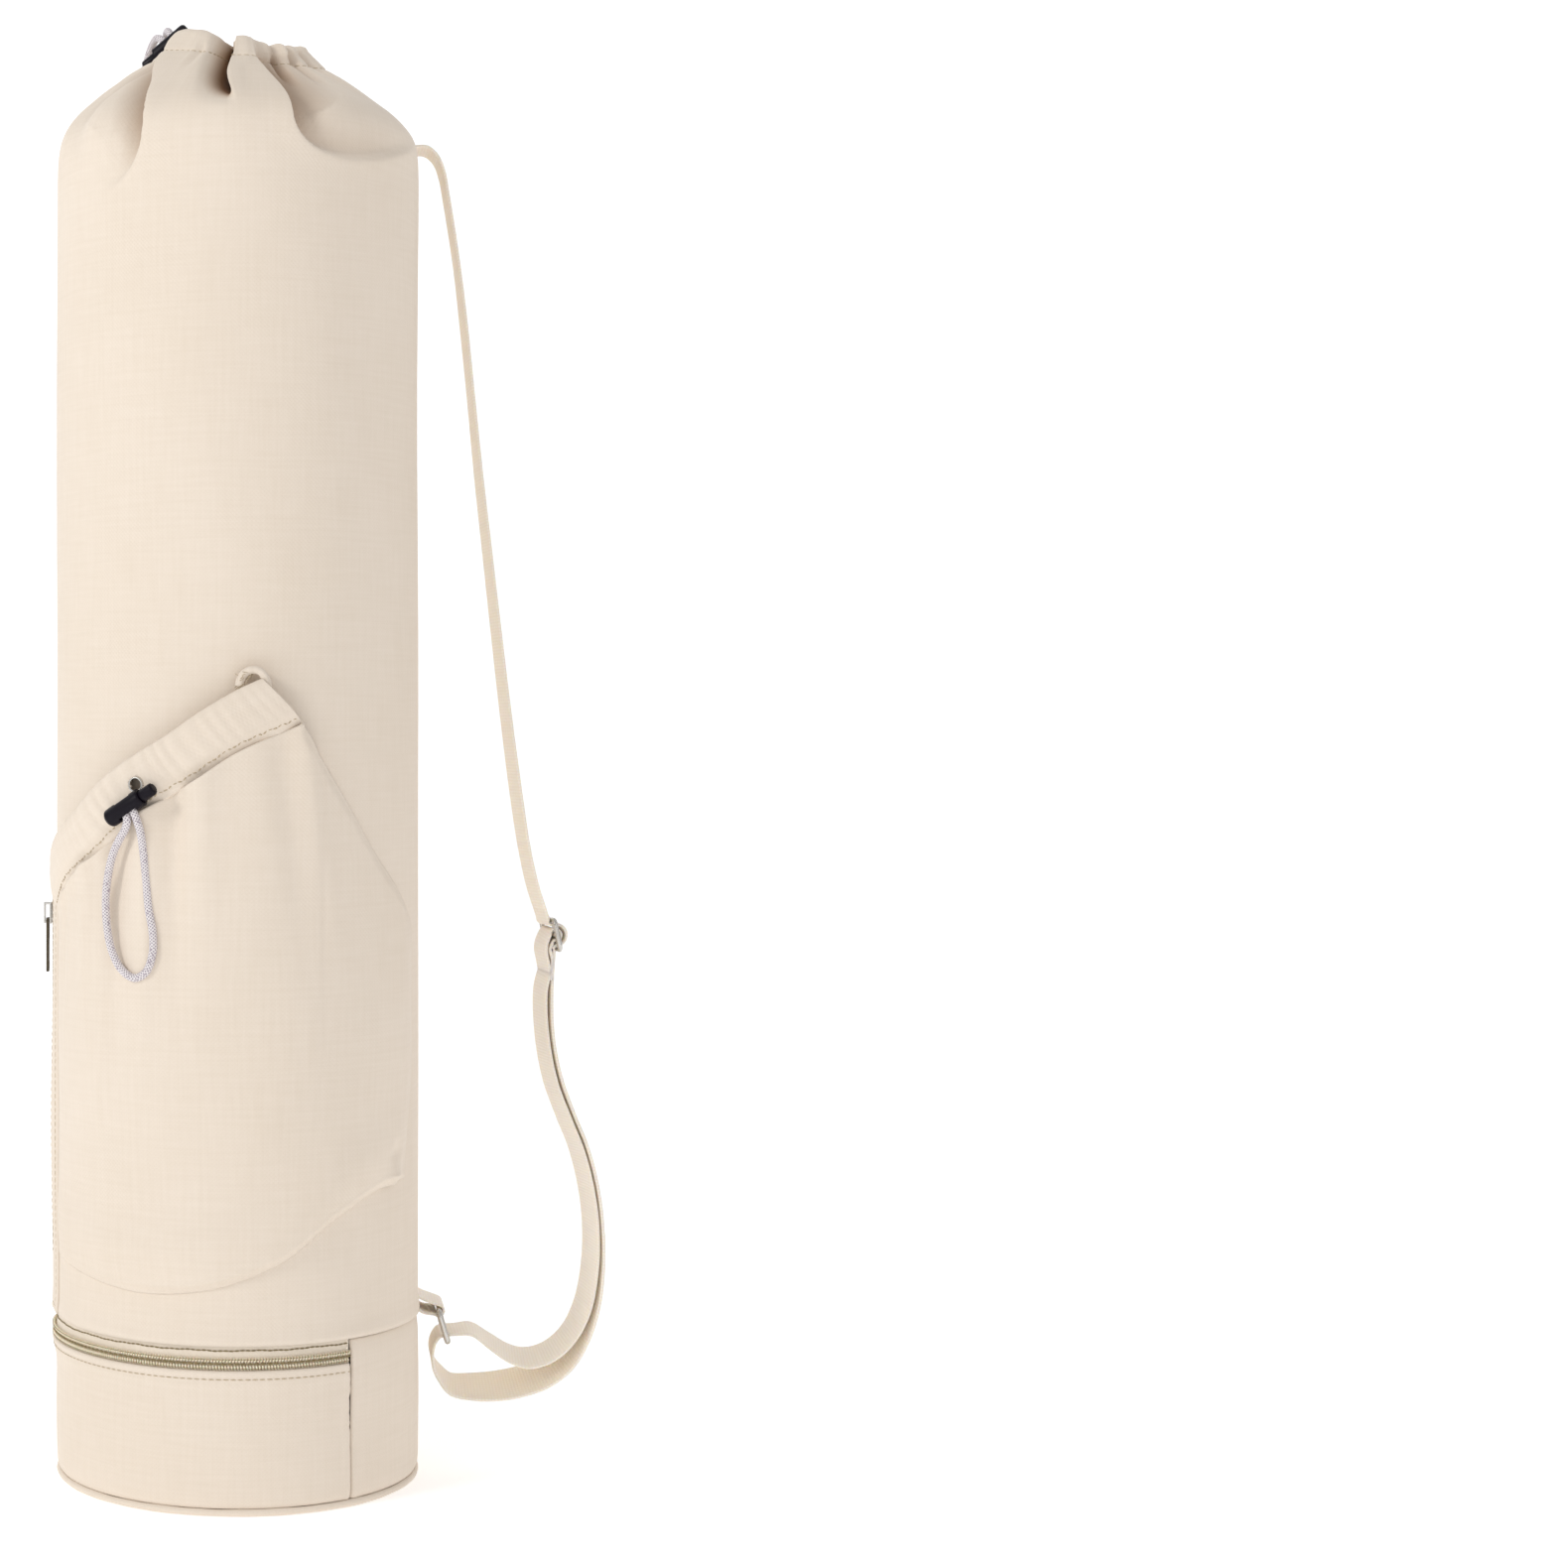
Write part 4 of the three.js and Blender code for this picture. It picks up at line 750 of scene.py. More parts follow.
BAND = [
    (83.6, 3.4), (84.7, 3.6), (85.5, 5.2), (85.9, 8.5), (86.0, 16), (86.0, 30), (86.05, 48), (86.1, 57),
    (86.3, 60.4), (86.15, 61.8), (86.35, 63.2), (86.3, 65.0), (85.7, 65.7), (84.7, 65.2), (84.4, 63.0),
]
HINGE = [
    (83.6, 3.4), (84.7, 3.6), (85.5, 5.2), (85.9, 8.5), (86.0, 16), (86.0, 36), (86.0, 60), (85.7, 70),
    (85.0, 74.6), (84.4, 76.4),
]
# Where the upright seam by the zip's end gapes: height, half its length and width of each gap, in mm.
SEAM_GAPS = [
    (65.4, 2.6, 1.1), (60.2, 2.2, 0.5), (56.0, 1.2, 0.35), (49.5, 2.0, 0.8), (46.2, 1.3, 0.55),
    (43.0, 1.6, 0.75), (39.6, 1.2, 0.45), (36.4, 1.0, 0.6), (27.0, 1.0, 0.2),
]


def gaping(z):
    """The angle of the band's right edge at a height. It meets the panel beside it, apart from the gaps."""
    gap = sum(wide * bell(z - at, half) for at, half, wide in SEAM_GAPS)
    return ZIP_RIGHT + 0.12 - np.degrees(gap / TUBE_RADIUS)


cloth(drum_wall("foot_band", ZIP_LEFT, gaping, BAND, 300, 64), 1.4, ["lower_band"])
hinge_mesh = drum_wall("foot_hinge_panel", ZIP_RIGHT + 0.05, ZIP_LEFT + 359.7, HINGE, 150, 60)
cloth(hinge_mesh, 1.4, ["hinge_panel"])

topstitch_angle = np.linspace(ZIP_LEFT + 1, ZIP_RIGHT - 1, 900)
topstitch = by_zip(topstitch_angle, 86.25, 61.8)
sewn("foot_topstitch", [stitches(topstitch, outward(topstitch_angle), long=2.6, pitch=3.3, thick=0.5)])

# %% Piping and bottom
PIPE_STEPS, PIPE_SIDES = 240, 16
pipe_angle = ring(PIPE_STEPS)[:, None]
pipe_turn = ring(PIPE_SIDES)
pipe_size = 1.6 + 0.08 * np.sin(11 * pipe_angle) + 0.06 * np.sin(29 * pipe_angle + 1)
pipe_radius = 84.5 + pipe_size * np.cos(pipe_turn)
pipe_z = 1.75 + pipe_size * np.sin(pipe_turn)
pipe_grid = stacked(pipe_radius * np.sin(pipe_angle), -pipe_radius * np.cos(pipe_angle), pipe_z)
pipe_uv = stacked(np.linspace(0, 12.3, PIPE_SIDES + 1)[None], np.linspace(0, 538, PIPE_STEPS + 1)[:, None])
pipe_faces = grid_faces(PIPE_STEPS + 1, PIPE_SIDES, wrap=True)[:, ::-1] % (PIPE_STEPS * PIPE_SIDES)
pipe_uv_faces = grid_faces(PIPE_STEPS + 1, PIPE_SIDES + 1)[:, ::-1]
pipe_mesh = mesh_of("piped_seam", pipe_grid, pipe_faces, pipe_uv, pipe_uv_faces)
piece(pipe_mesh, canvas, replaces=["base_piping"])

DISC_SIDES = 160
disc_radius = np.concatenate([[0.05], np.linspace(2, 78, 36), [80.5, 82.2, 83.2, 83.4]])[:, None]
disc_angle = ring(DISC_SIDES)[None]
disc_z = 0.55 + 0.4 * np.sin(3 * disc_angle + disc_radius / 25) * np.sin(np.pi * disc_radius / 84) ** 2
disc_z = np.maximum(disc_z + 0.9 * bell(disc_radius - 83.4, 1.6) - 0.3, 0.06)
disc_grid = stacked(disc_radius * np.sin(disc_angle), -disc_radius * np.cos(disc_angle), disc_z)
disc_faces = [tuple(f) for f in grid_faces(len(disc_radius), DISC_SIDES, wrap=True)]
disc_faces.append(tuple(reversed(range(DISC_SIDES))))
cloth(mesh_of("round_bottom", disc_grid, disc_faces, disc_grid[..., :2], disc_faces), 1.6, ["base_panel"])

# %% [markdown]
# ## Coil zips
# The zips are number 5 nylon coil: two wound monofilaments sewn to woven tape, which look like two rows of
# small slanting beads with a sewing thread along each. A bead is laid every 1.4 mm on each side, half a
# step apart.

# %% Zip finishes and chains
# Nylon monofilament, dyed cream: smooth, with a soft gloss and light passing a little way in.
coil = mottled(
    "nylon_zip_coil", 350.0, 1.0, "#F6EED9", "#E2D5B4",
    Roughness=0.42, Subsurface_Weight=0.15, Subsurface_Scale=0.6 * MM,
)
# The thread that sews the coil down, in khaki, matt. The same finish colours the dark strip of painted shade
# between a chain's rows.
zip_thread = mottled("khaki_zip_thread", 1200.0, 2.0, "#98875E", "#6A5A3A", Roughness=0.75)
COIL_PITCH = 1.4
ROW_APART, COIL_LEAN = 1.6, 0.25  # mm from the middle to a row's beads, and their slope along the chain


def coil_chain(name, line, out, node):
    """Two rows of slanting beads on a line of points, a thread along each row, and between them a dark strip
    of painted shade.
    """
    run = run_of(line)
    along = unit(np.gradient(line, axis=0))
    across = np.cross(out, along)
    rows, threads_and_shade_strip = [], []
    for side, start in ((1, 0.3), (-1, 0.3 + COIL_PITCH / 2)):
        at = np.arange(start, run[-1] - 0.3, COIL_PITCH)
        spot, up, beside, ahead = (sampled(at, run, field) for field in (line, out, across, along))
        slant = beside + side * COIL_LEAN * ahead
        rows.append(lay(bead(2.2, 1.08, 1.5), spot + side * ROW_APART * beside, slant, up))
        threads_and_shade_strip.append(stitches(line + side * 2.0 * across + out * 0.62, out, 1.25, COIL_PITCH, 0.42, 0.0))
    # Painted shade: a dark khaki strip under the chain between its rows, where shade falls between them.
    threads_and_shade_strip.append(stitches(line + out * 0.15, out, 3.05, 3.0, 1.05, 0.0))
    sewn(name, rows, coil, [node])
    sewn(name + "_thread", threads_and_shade_strip, zip_thread)


def zip_tape(name, angle, radius, z, thickness, replaces=()):
    """The tape behind a zip, from a row of angles in degrees and a column of heights."""
    uv = stacked(np.radians(angle) * int(radius), z)  # a whole radius is near enough for the weave
    cloth(grid_mesh(name, by_zip(angle, radius, z), uv), thickness, replaces, tape_cloth)


chain_angle = np.linspace(ZIP_LEFT + 0.3, ZIP_RIGHT - 0.5, 700)
chain_line = by_zip(chain_angle, 85.35, ZIP_HEIGHT)
coil_chain("foot_zip_coils", chain_line, outward(chain_angle), "bottom_zip_chain")
tape_angle = np.linspace(ZIP_LEFT + 0.4, ZIP_RIGHT - 0.2, 300)[None]
tape_z = np.linspace(61.9, 79.6, 30)[:, None]
zip_tape("foot_zip_tape", tape_angle, 84.15, tape_z, 0.7, ["bottom_zip_tape"])

seam_angle = np.linspace(ZIP_LEFT + 1, ZIP_RIGHT - 1, 1000)
seam_z = 74.4 + 0.14 * np.sin(seam_angle / 3.1) + 0.08 * np.sin(seam_angle / 0.9)
seam_path = by_zip(seam_angle, 84.3, seam_z)
tape_seam = stitches(seam_path, outward(seam_angle), long=2.5, pitch=2.5, thick=0.7)
sewn("foot_tape_stitches", [tape_seam], zip_thread)

# %% [markdown]
# ## Bottle pocket
# The pocket is one flat panel sewn to the tube round its curved lower edge and its right edge, with a wide
# cord channel along its slanted mouth. A drawn cord and a bottle-sized belly make it stand off the tube.
# Its surface stands off by a sine bump across and up, plus soft folds that start at the channel and die
# away downwards.

# %% Pocket shape
POCKET_FLOOR, POCKET_HEIGHT = 98.4, 258
POCKET_LEFT, POCKET_RIGHT, POCKET_CORNER = -76.0, 70.0, 63.5
HEM_START, HEM_END, HEM_WIDTH, HEM_THICK = 0.035, 0.647, 22, 5.4
MOUTH_STAND, BELLY = 8.0, 6.0  # mm by which the mouth and the middle stand off the tube
EDGES = np.array([  # across, bottom and top, as shares of the pocket's width and height
    (0, 0.03, 0.634), (0.1, 0.02, 0.7), (0.235, 0.006, 0.768), (0.335, 0, 0.84), (0.45, 0.008, 0.905),
    (0.52, 0.02, 0.949), (0.647, 0.062, 1), (0.747, 0.119, 0.874), (0.838, 0.157, 0.767), (0.92, 0.176, 0.7),
    (1, 0.18, 0.634),
])
low_edge = spline(EDGES[:, :2], 400)
mouth_edge = spline(EDGES[:7, [0, 2]], 300)
right_edge = spline(EDGES[6:, [0, 2]], 200)
top_edge = np.vstack([mouth_edge, right_edge[1:]])


def pocket_low(across):
    """Height of the pocket's lower edge."""
    return POCKET_FLOOR + POCKET_HEIGHT * np.interp(across, low_edge[:, 0], low_edge[:, 1])


def pocket_top(across):
    """Height of its upper edge: the channel's lower side, and then the edge that falls to the right."""
    return POCKET_FLOOR + POCKET_HEIGHT * np.interp(across, top_edge[:, 0], top_edge[:, 1])


def pocket_angle(across, up):
    """Angle round the bag in degrees. The right edge leans in towards its lower corner."""
    right = POCKET_CORNER + (POCKET_RIGHT - POCKET_CORNER) * smooth(up * 2)
    return POCKET_LEFT + (right - POCKET_LEFT) * across


def mouth_stand(across):
    """How far the channel stands off the tube: flat at its left end, and well off at its open right end."""
    share = np.clip(across / (HEM_END * 1.06), 0, 1)
    return MOUTH_STAND * np.sin(np.pi * share) ** np.where(share < 0.5, 1.5, 0.5)


# A fold's place across at the mouth and at its foot, its width, its height in mm and how far down it runs.
FOLDS = [
    (0.20, 0.16, 0.022, 2.4, 0.50), (0.285, 0.255, 0.024, -3.4, 0.78), (0.345, 0.335, 0.022, 3.2, 0.66),
    (0.400, 0.415, 0.022, -3.8, 0.55), (0.455, 0.49, 0.028, 2.2, 0.45), (0.60, 0.72, 0.030, -2.0, 0.60),
    (0.11, 0.07, 0.020, -1.4, 0.40), (0.66, 0.80, 0.028, 1.6, 0.50),
]
CLOTH_OFF = 0.35  # mm from the tube's outer face to the flat edge of a sewn pocket


def pocket_points(across, up):
    """The pocket's outer face, for shares across and up."""
    across, up = np.broadcast_arrays(np.asarray(across, float), np.asarray(up, float))
    angle = pocket_angle(across, up)
    low, top = pocket_low(across), pocket_top(across)
    z = low + (top - low) * up
    stand = mouth_stand(across) * up**2 + BELLY * np.sin(np.pi * across) * np.sin(np.pi * up)
    for at_top, at_low, wide, high, reach in FOLDS:
        fade = smooth((up - (1 - reach)) / reach)
        at = at_low + (at_top - at_low) * up
        stand = stand + high * fade * bell(across - at, wide)
    a = np.radians(angle)
    hand = 0.35 * np.sin(6 * a + z / 33) + 0.25 * np.sin(11 * a - z / 21 + 2) + 0.15 * np.sin(3 * a + z / 12)
    inner = np.sin(np.pi * np.clip(across, 0, 1)) ** 0.5 * np.sin(np.pi * np.clip(up, 0, 1)) ** 0.5
    low_mm = z - low
    side_mm = np.minimum(across, 1 - across) * np.radians(140) * TUBE_RADIUS
    rolled = np.minimum(3.4 * (1 - bell(low_mm, 3.2)), 2.6 * (1 - bell(side_mm, 9)) + 0.3)
    right_slope = np.where(across > HEM_END, np.clip((top - z) / 9, 0, 1), 1)
    rolled = rolled * (0.25 + 0.75 * smooth(right_slope))
    sag = 3.4 * bell(low_mm - 17, 13) * inner
    seam = -0.6 * bell(low_mm - 6, 1.7) * inner
    to_channel = 1.7 * bell(top - z, 5) * (across < HEM_END) * smooth(across / 0.12)
    # At the lower right corner the edge lifts off the tube under a short level tip, with a crease above it.
    at_tip = bell(across - 0.93, 0.024)
    tip = 3.6 * at_tip * bell(low_mm, 7) - 1.4 * at_tip * bell(low_mm - 15, 4)
    out = stand + rolled + sag + hand * inner + seam + to_channel + tip
    return around(angle, TUBE_RADIUS + CLOTH_OFF + out, z)


cols = graded((0, 6), (0.02, 120), (HEM_END, 64), (0.985, 7), end=1)[None]
ups = graded((0, 10), (0.04, 120), (0.97, 8), end=1)[:, None]
pocket_grid = pocket_points(cols, ups)
pocket_uv = stacked(np.radians(pocket_angle(cols, ups)) * TUBE_RADIUS, pocket_grid[..., 2])
cloth(grid_mesh("canvas_bottle_pocket", pocket_grid, pocket_uv), 1.3, ["bottle_pocket"])

# %% [markdown]
# ## Cord channel
# The mouth's edge is folded back and sewn down, which makes a flat cloth tube for the cord. Its upper right
# end is left open, with the raw edge inside fraying. The section is a flat oval with a rounded fold at its
# top, carried along the slanted mouth, and small ruffles cross it near the eyelet where the cord draws it
# in.

# %% Cord channel
HEM_SIDES, HEM_LEAST = 44, 0.3  # points round the channel, and mm that it keeps from the tube
OPEN_FROM = 0.06  # share of the pocket's width over which the open end widens
END_SLANT = 0.034  # share of the pocket's width by which the open end is cut back at its top
END_RISE = 65  # mm by which that top rises for each such share


def hem_frame(across):
    """The channel's lower edge: place round the tube and height in mm, and direction on the flat cloth."""

    def arc(share):
        return np.radians(pocket_angle(share, 1.0)) * TUBE_RADIUS

    step = 0.008
    low, high = np.clip(across - step, 0, HEM_END), np.clip(across + step, 0, HEM_END)
    run, rise = arc(high) - arc(low), pocket_top(high) - pocket_top(low)
    long = np.hypot(run, rise)
    return arc(across), pocket_top(across), run / long, rise / long


def hem_point(across, wide, out):
    """A place on the channel: across its length, wide up from its lower edge, out from its middle, in mm."""
    arc, z, run, rise = hem_frame(across)
    angle = np.degrees((arc - rise * wide) / TUBE_RADIUS)
    radius = TUBE_RADIUS + HEM_LEAST + mouth_stand(across) + HEM_THICK / 2 + out
    return around(angle, radius, z + run * wide)


def hem_surface(across, turn):
    """The channel's skin: a flat oval, fuller at its upper fold, with ruffles that grow near the eyelet."""
    c, s = np.cos(turn), np.sin(turn)
    wide = HEM_WIDTH / 2 + np.sign(c) * np.abs(c) ** 0.75 * HEM_WIDTH / 2
    up = wide / HEM_WIDTH
    tucked = 0.35 + 0.65 * smooth((across - HEM_START) / 0.12)  # flatter towards the left end
    full = (0.16 + 0.84 * smooth(up / 0.34)) * HEM_THICK / 2 * tucked
    ruffle = (bell(across - 0.36, 0.13) * 0.9 + 0.16) * smooth(up / 0.35)
    wave = np.sin(across * 260 + 2.2 * np.sin(up * 2.6) + 1.4 * np.sin(across * 61)) * ruffle
    wave = wave * (s > 0) * np.abs(s) ** 0.3
    out = np.sign(s) * np.abs(s) ** 0.6 * full * 0.92 + 0.45 * wave
    out = out - HEM_THICK / 2 * (0.42 * (1 - smooth(up / 0.34)) + 0.6 * (1 - tucked))
    open_end = smooth((across - (HEM_END - OPEN_FROM)) / OPEN_FROM)
    out = out + open_end * 0.9 * np.sin(np.pi * up) * np.sign(s)
    wide = np.where(s < 0, wide - open_end * 3.2 * smooth((up - 0.5) / 0.5), wide)
    slant = END_SLANT * smooth((across - (HEM_END - 0.16)) / 0.16) * up
    return hem_point(across - slant, wide + 0.3 + END_RISE * slant, out)


hem_across = graded((HEM_START, 190), (HEM_END - 0.012, 8), end=HEM_END)
hem_grid = hem_surface(hem_across[:, None], -ring(HEM_SIDES)[None])
hem_along = hem_across[:, None] * np.radians(146) * TUBE_RADIUS * 1.12
hem_uv = stacked(np.linspace(0, 48, HEM_SIDES + 1)[None], hem_along)
hem_faces = grid_faces(len(hem_across), HEM_SIDES, wrap=True)
hem_uv_faces = grid_faces(len(hem_across), HEM_SIDES + 1)
EYELET_ACROSS, EYELET_HOLE = 0.364, 3.2  # the hole's radius is in mm
eyelet_at = hem_point(np.array(EYELET_ACROSS), np.array(HEM_WIDTH / 2), np.array(HEM_THICK / 2 * 0.92))
from_eyelet = np.linalg.norm(hem_grid.reshape(-1, 3)[hem_faces].mean(1) - eyelet_at, axis=1)
left = from_eyelet > EYELET_HOLE
cloth(mesh_of("cord_channel", hem_grid, hem_faces[left], hem_uv, hem_uv_faces[left]), 1.1, ["pocket_hem"])

STITCH_UP = 2.4  # mm from the channel's lower edge to its stitches
STITCH_LIFT = 1.35  # mm: this skin's wall lies outside it, so the stitches are lifted onto the wall
stitch_across = np.linspace(HEM_START + 0.005, HEM_END - 0.004, 700)
stitch_turn = np.arccos(np.clip((STITCH_UP / HEM_WIDTH - 0.5) * 2, -1, 1) * 0.9)
on_skin = hem_surface(stitch_across, stitch_turn)
zigzag = 0.3 * np.sin(stitch_across * 900)[:, None] * np.array([0, 0, 1])
hem_seam = stitches(on_skin + zigzag, unit(on_skin * (1, 1, 0)), 2.0, 3.0, 0.65, STITCH_LIFT)
sewn("cord_channel_stitches", [hem_seam])

# %% Open end of the channel
# Beyond its last stitch the turned-in layer springs open and curls back to the left. Its raw edge is frayed.
CURL = [(11.6, 370.5), (11.4, 374.6), (9.6, 377.5), (6.8, 378.2), (4.2, 377.1), (2.7, 374.9), (2.2, 372.6)]
CURL_ROWS, CURL_COLS = 48, 10
CURL_FRONT, CURL_DEPTH = 88.3, 5.6  # mm from the bag's axis, and from its front edge to its back one
curl_line = spline(CURL, CURL_ROWS)
depth = np.linspace(0, 1, CURL_COLS)[None]
along = np.linspace(0, 1, CURL_ROWS)[:, None]
curl_grid = stacked(
    curl_line[:, :1] + 0.25 * np.sin(3 * depth + 6 * along),
    -(CURL_FRONT + CURL_DEPTH * depth - 1.1 * along * depth + 0.3 * np.sin(9 * along + 4 * depth)),
    curl_line[:, 1:] + 0.3 * np.cos(4 * depth + 5 * along),
)
curl_uv = stacked(run_of(curl_line)[:, None], CURL_DEPTH * depth)
cloth(grid_mesh("channel_turned_edge", curl_grid, curl_uv), 3.4)

fray = np.random.default_rng(7)
FRAYED = 34
strands = []
for i in range(FRAYED):
    share = 0.55 + 0.45 * fray.random()
    root = curl_grid[int(share * (CURL_ROWS - 1)), fray.integers(2, CURL_COLS)]
    reach = 1.6 + 3.6 * fray.random()
    lean = np.array([-0.9 + 0.7 * fray.random(), -0.3 * fray.random(), -0.8 + 1.3 * fray.random()])
    t = np.linspace(0, 1, 7)[:, None]
    bend = np.array([0.5, -0.2, -1.0]) * (fray.random() - 0.35) * 2.4
    strands.append(rod(root + unit(lean) * reach * t + bend * t**2, 0.15, 5, (0, 1, 0)))
sewn("frayed_threads", strands)

# %% [markdown]
# ## Side pocket
# A flat panel on the left side with an upright zip for a phone. The panel is a patch of the cylinder with a
# slot left out of its grid for the chain. Its edges are turned under and topstitched.

# %% Side pocket
SIDE_RIGHT, SIDE_LEFT, SIDE_LOW, SIDE_HIGH = -77.5, -128.0, 77.2, 288.0
SIDE_ZIP_ANGLE, SIDE_ZIP_LOW, SIDE_ZIP_HIGH = -90.0, 108.0, 272.0
SLOT_HALF = np.degrees(3.15 / TUBE_RADIUS)
SLOT_LEFT, SLOT_RIGHT = SIDE_ZIP_ANGLE - SLOT_HALF, SIDE_ZIP_ANGLE + SLOT_HALF
LEFT_OF_SLOT, BELOW_SLOT, BESIDE_SLOT = 46, 26, 70  # columns and rows of the panel's grid
side_angles = np.concatenate([
    np.linspace(SIDE_LEFT, SLOT_LEFT, LEFT_OF_SLOT),
    np.linspace(SLOT_RIGHT, SIDE_RIGHT, 22),
])[None]
side_heights = np.concatenate([
    np.linspace(SIDE_LOW, SIDE_ZIP_LOW - 0.3, BELOW_SLOT),
    np.linspace(SIDE_ZIP_LOW + 2, SIDE_ZIP_HIGH - 2, BESIDE_SLOT),
    np.linspace(SIDE_ZIP_HIGH + 0.3, SIDE_HIGH, 16),
])[:, None]


def side_stand(angle, z):
    """The panel's outer radius: turned edges, a pinch at the topstitch, and a soft fullness of 2.4 mm."""
    mm_side = np.minimum(angle - SIDE_LEFT, SIDE_RIGHT - angle) * np.radians(1) * TUBE_RADIUS
    mm_edge = np.minimum(mm_side, np.minimum(z - SIDE_LOW, SIDE_HIGH - z))
    turned = 1.15 * (1 - bell(mm_edge, 1.1))
    pinch = -0.4 * bell(mm_edge - 3.2, 0.9)
    full = 2.4 * np.sin(np.pi * (z - SIDE_LOW) / (SIDE_HIGH - SIDE_LOW)) * smooth(mm_side / 14)
    slot_mm = np.abs(angle - SIDE_ZIP_ANGLE) * np.radians(1) * TUBE_RADIUS
    full = full * (1 - bell(slot_mm, 9)) + 0.55 * bell(slot_mm - 4.4, 1.2)
    a = np.radians(angle)
    hand = 0.2 * np.sin(9 * a + z / 19) + 0.15 * np.sin(4 * a - z / 29)
    return TUBE_RADIUS + CLOTH_OFF + turned + pinch + full + hand * smooth(mm_edge / 10) + zip_bulge(angle, z)


side_grid = around(side_angles, side_stand(side_angles, side_heights), side_heights)
side_faces = grid_faces(side_heights.size, side_angles.size)
row, col = np.divmod(side_faces[:, 0], side_angles.size)
in_slot = (col == LEFT_OF_SLOT - 1) & (row >= BELOW_SLOT - 1) & (row < BELOW_SLOT + BESIDE_SLOT)
side_faces = side_faces[~in_slot]
side_uv = stacked(np.radians(side_angles) * TUBE_RADIUS, side_heights)
cloth(mesh_of("side_pocket_panel", side_grid, side_faces, side_uv, side_faces), 1.2, ["side_pocket"])


def box_seam(inset, inset_up, left, right, low, high):
    """Stitches on the panel round a box of angles and heights that is moved inwards by millimetres."""
    by = np.degrees(inset / TUBE_RADIUS)
    left, right, low, high = left + by, right - by, low + inset_up, high - inset_up
    path = np.array([(left, low), (right, low), (right, high), (left, high), (left, low)], float)
    run = run_of(path * (np.radians(1) * TUBE_RADIUS, 1))
    at = np.linspace(0, run[-1], 900)
    angle, z = np.interp(at, run, path[:, 0]), np.interp(at, run, path[:, 1])
    return stitches(around(angle, side_stand(angle, z), z), outward(angle), long=2.5, pitch=3.3, thick=0.5)


panel_seam = box_seam(3.2, 3.2, SIDE_LEFT, SIDE_RIGHT, SIDE_LOW, SIDE_HIGH)
slot_seam = box_seam(-2.4, -2.6, SLOT_LEFT, SLOT_RIGHT, SIDE_ZIP_LOW, SIDE_ZIP_HIGH)
sewn("side_pocket_topstitch", [panel_seam, slot_seam])

side_z = np.linspace(SIDE_ZIP_LOW, SIDE_ZIP_HIGH, 300)
side_line = by_zip(SIDE_ZIP_ANGLE, 87.45, side_z)
coil_chain("side_zip_coils", side_line, outward(np.full(300, SIDE_ZIP_ANGLE)), "side_zip_chain")
side_tape_angle = np.linspace(SIDE_ZIP_ANGLE - 4, SIDE_ZIP_ANGLE + 4, 10)[None]
side_tape_z = np.linspace(SIDE_ZIP_LOW - 4, SIDE_ZIP_HIGH + 4, 60)[:, None]
zip_tape("side_zip_tape", side_tape_angle, 86.75, side_tape_z, 0.4)

# %% [markdown]
# ## Strap
# The strap is one length of 25 mm cotton webbing. It is sewn in at the shoulder, runs down under the
# adjuster's top bar, over its middle one and under the lowest, round the ring at the foot and back up to
# the middle bar, where it is sewn to itself. The route is the frame's own, and a rounded flat section is
# carried along it, rolled where the real strap twists.

# %% Strap route
STRAP_WIDTH, STRAP_THICK, STRAP_REACH, STRAP_BACK, ANCHOR_HEIGHT = 25, 1.4, 88, 12, 631
BAR_X, BAR_Z = TUBE_RADIUS + 10, SEAM_HEIGHT - 1.4
RING_FALL, RING_PITCH, RING_WIRE, ADJUSTER_WIRE = 0.96, 15, 1.5, 1.3
ADJUSTER_LEAN, ADJUSTER_ROLL = 0.2, math.radians(-7.5)
PLAY = 0.3  # mm between webbing and wire
BACKWARDS = np.array([0, 1.0, 0])
adjuster = np.array([TUBE_RADIUS + STRAP_REACH * 0.735, ANCHOR_HEIGHT * 0.4025])
fall = np.array([ADJUSTER_LEAN, -math.sqrt(1 - ADJUSTER_LEAN**2)])
away = np.array([-fall[1], fall[0]])
fall3 = np.array([fall[0], 0, fall[1]])
across3 = math.cos(ADJUSTER_ROLL) * BACKWARDS + math.sin(ADJUSTER_ROLL) * np.cross(fall3, BACKWARDS)
BAR_PITCH = 2 * STRAP_THICK + 6 * PLAY + 2 * ADJUSTER_WIRE
END_BEND = ADJUSTER_WIRE + PLAY + STRAP_THICK / 2
LAYER = STRAP_THICK + 2 * PLAY

# Reach, height and roll along the strap: shares of STRAP_REACH and of ANCHOR_HEIGHT, and degrees.
STRAP_DOWN = [
    (-0.04, 0.9985, 0), (0.004, 1, 0), (0.055, 0.9995, 0), (0.105, 0.9935, 0), (0.14, 0.982, 1),
    (0.163, 0.965, 1), (0.189, 0.943, 1), (0.222, 0.912, 1), (0.26, 0.867, 2), (0.299, 0.813, 2),
    (0.342, 0.752, 3), (0.391, 0.691, 4), (0.44, 0.63, 5), (0.49, 0.57, 6), (0.54, 0.516, 7),
    (0.589, 0.47, 7), (0.637, 0.439, 7.5),
]
STRAP_OUTER = [
    (0.712, 0.36, 8), (0.717, 0.326, 9), (0.759, 0.294, 10), (0.828, 0.266, 11), (0.9, 0.241, 11),
    (0.955, 0.2115, 11), (0.982, 0.181, 11), (0.983, 0.15, 12), (0.956, 0.121, 13), (0.896, 0.097, 15),
    (0.81, 0.0785, 18), (0.7, 0.067, 20), (0.57, 0.0605, 21), (0.43, 0.057, 20), (0.3, 0.0565, 17),
    (0.19, 0.0585, 12),
]
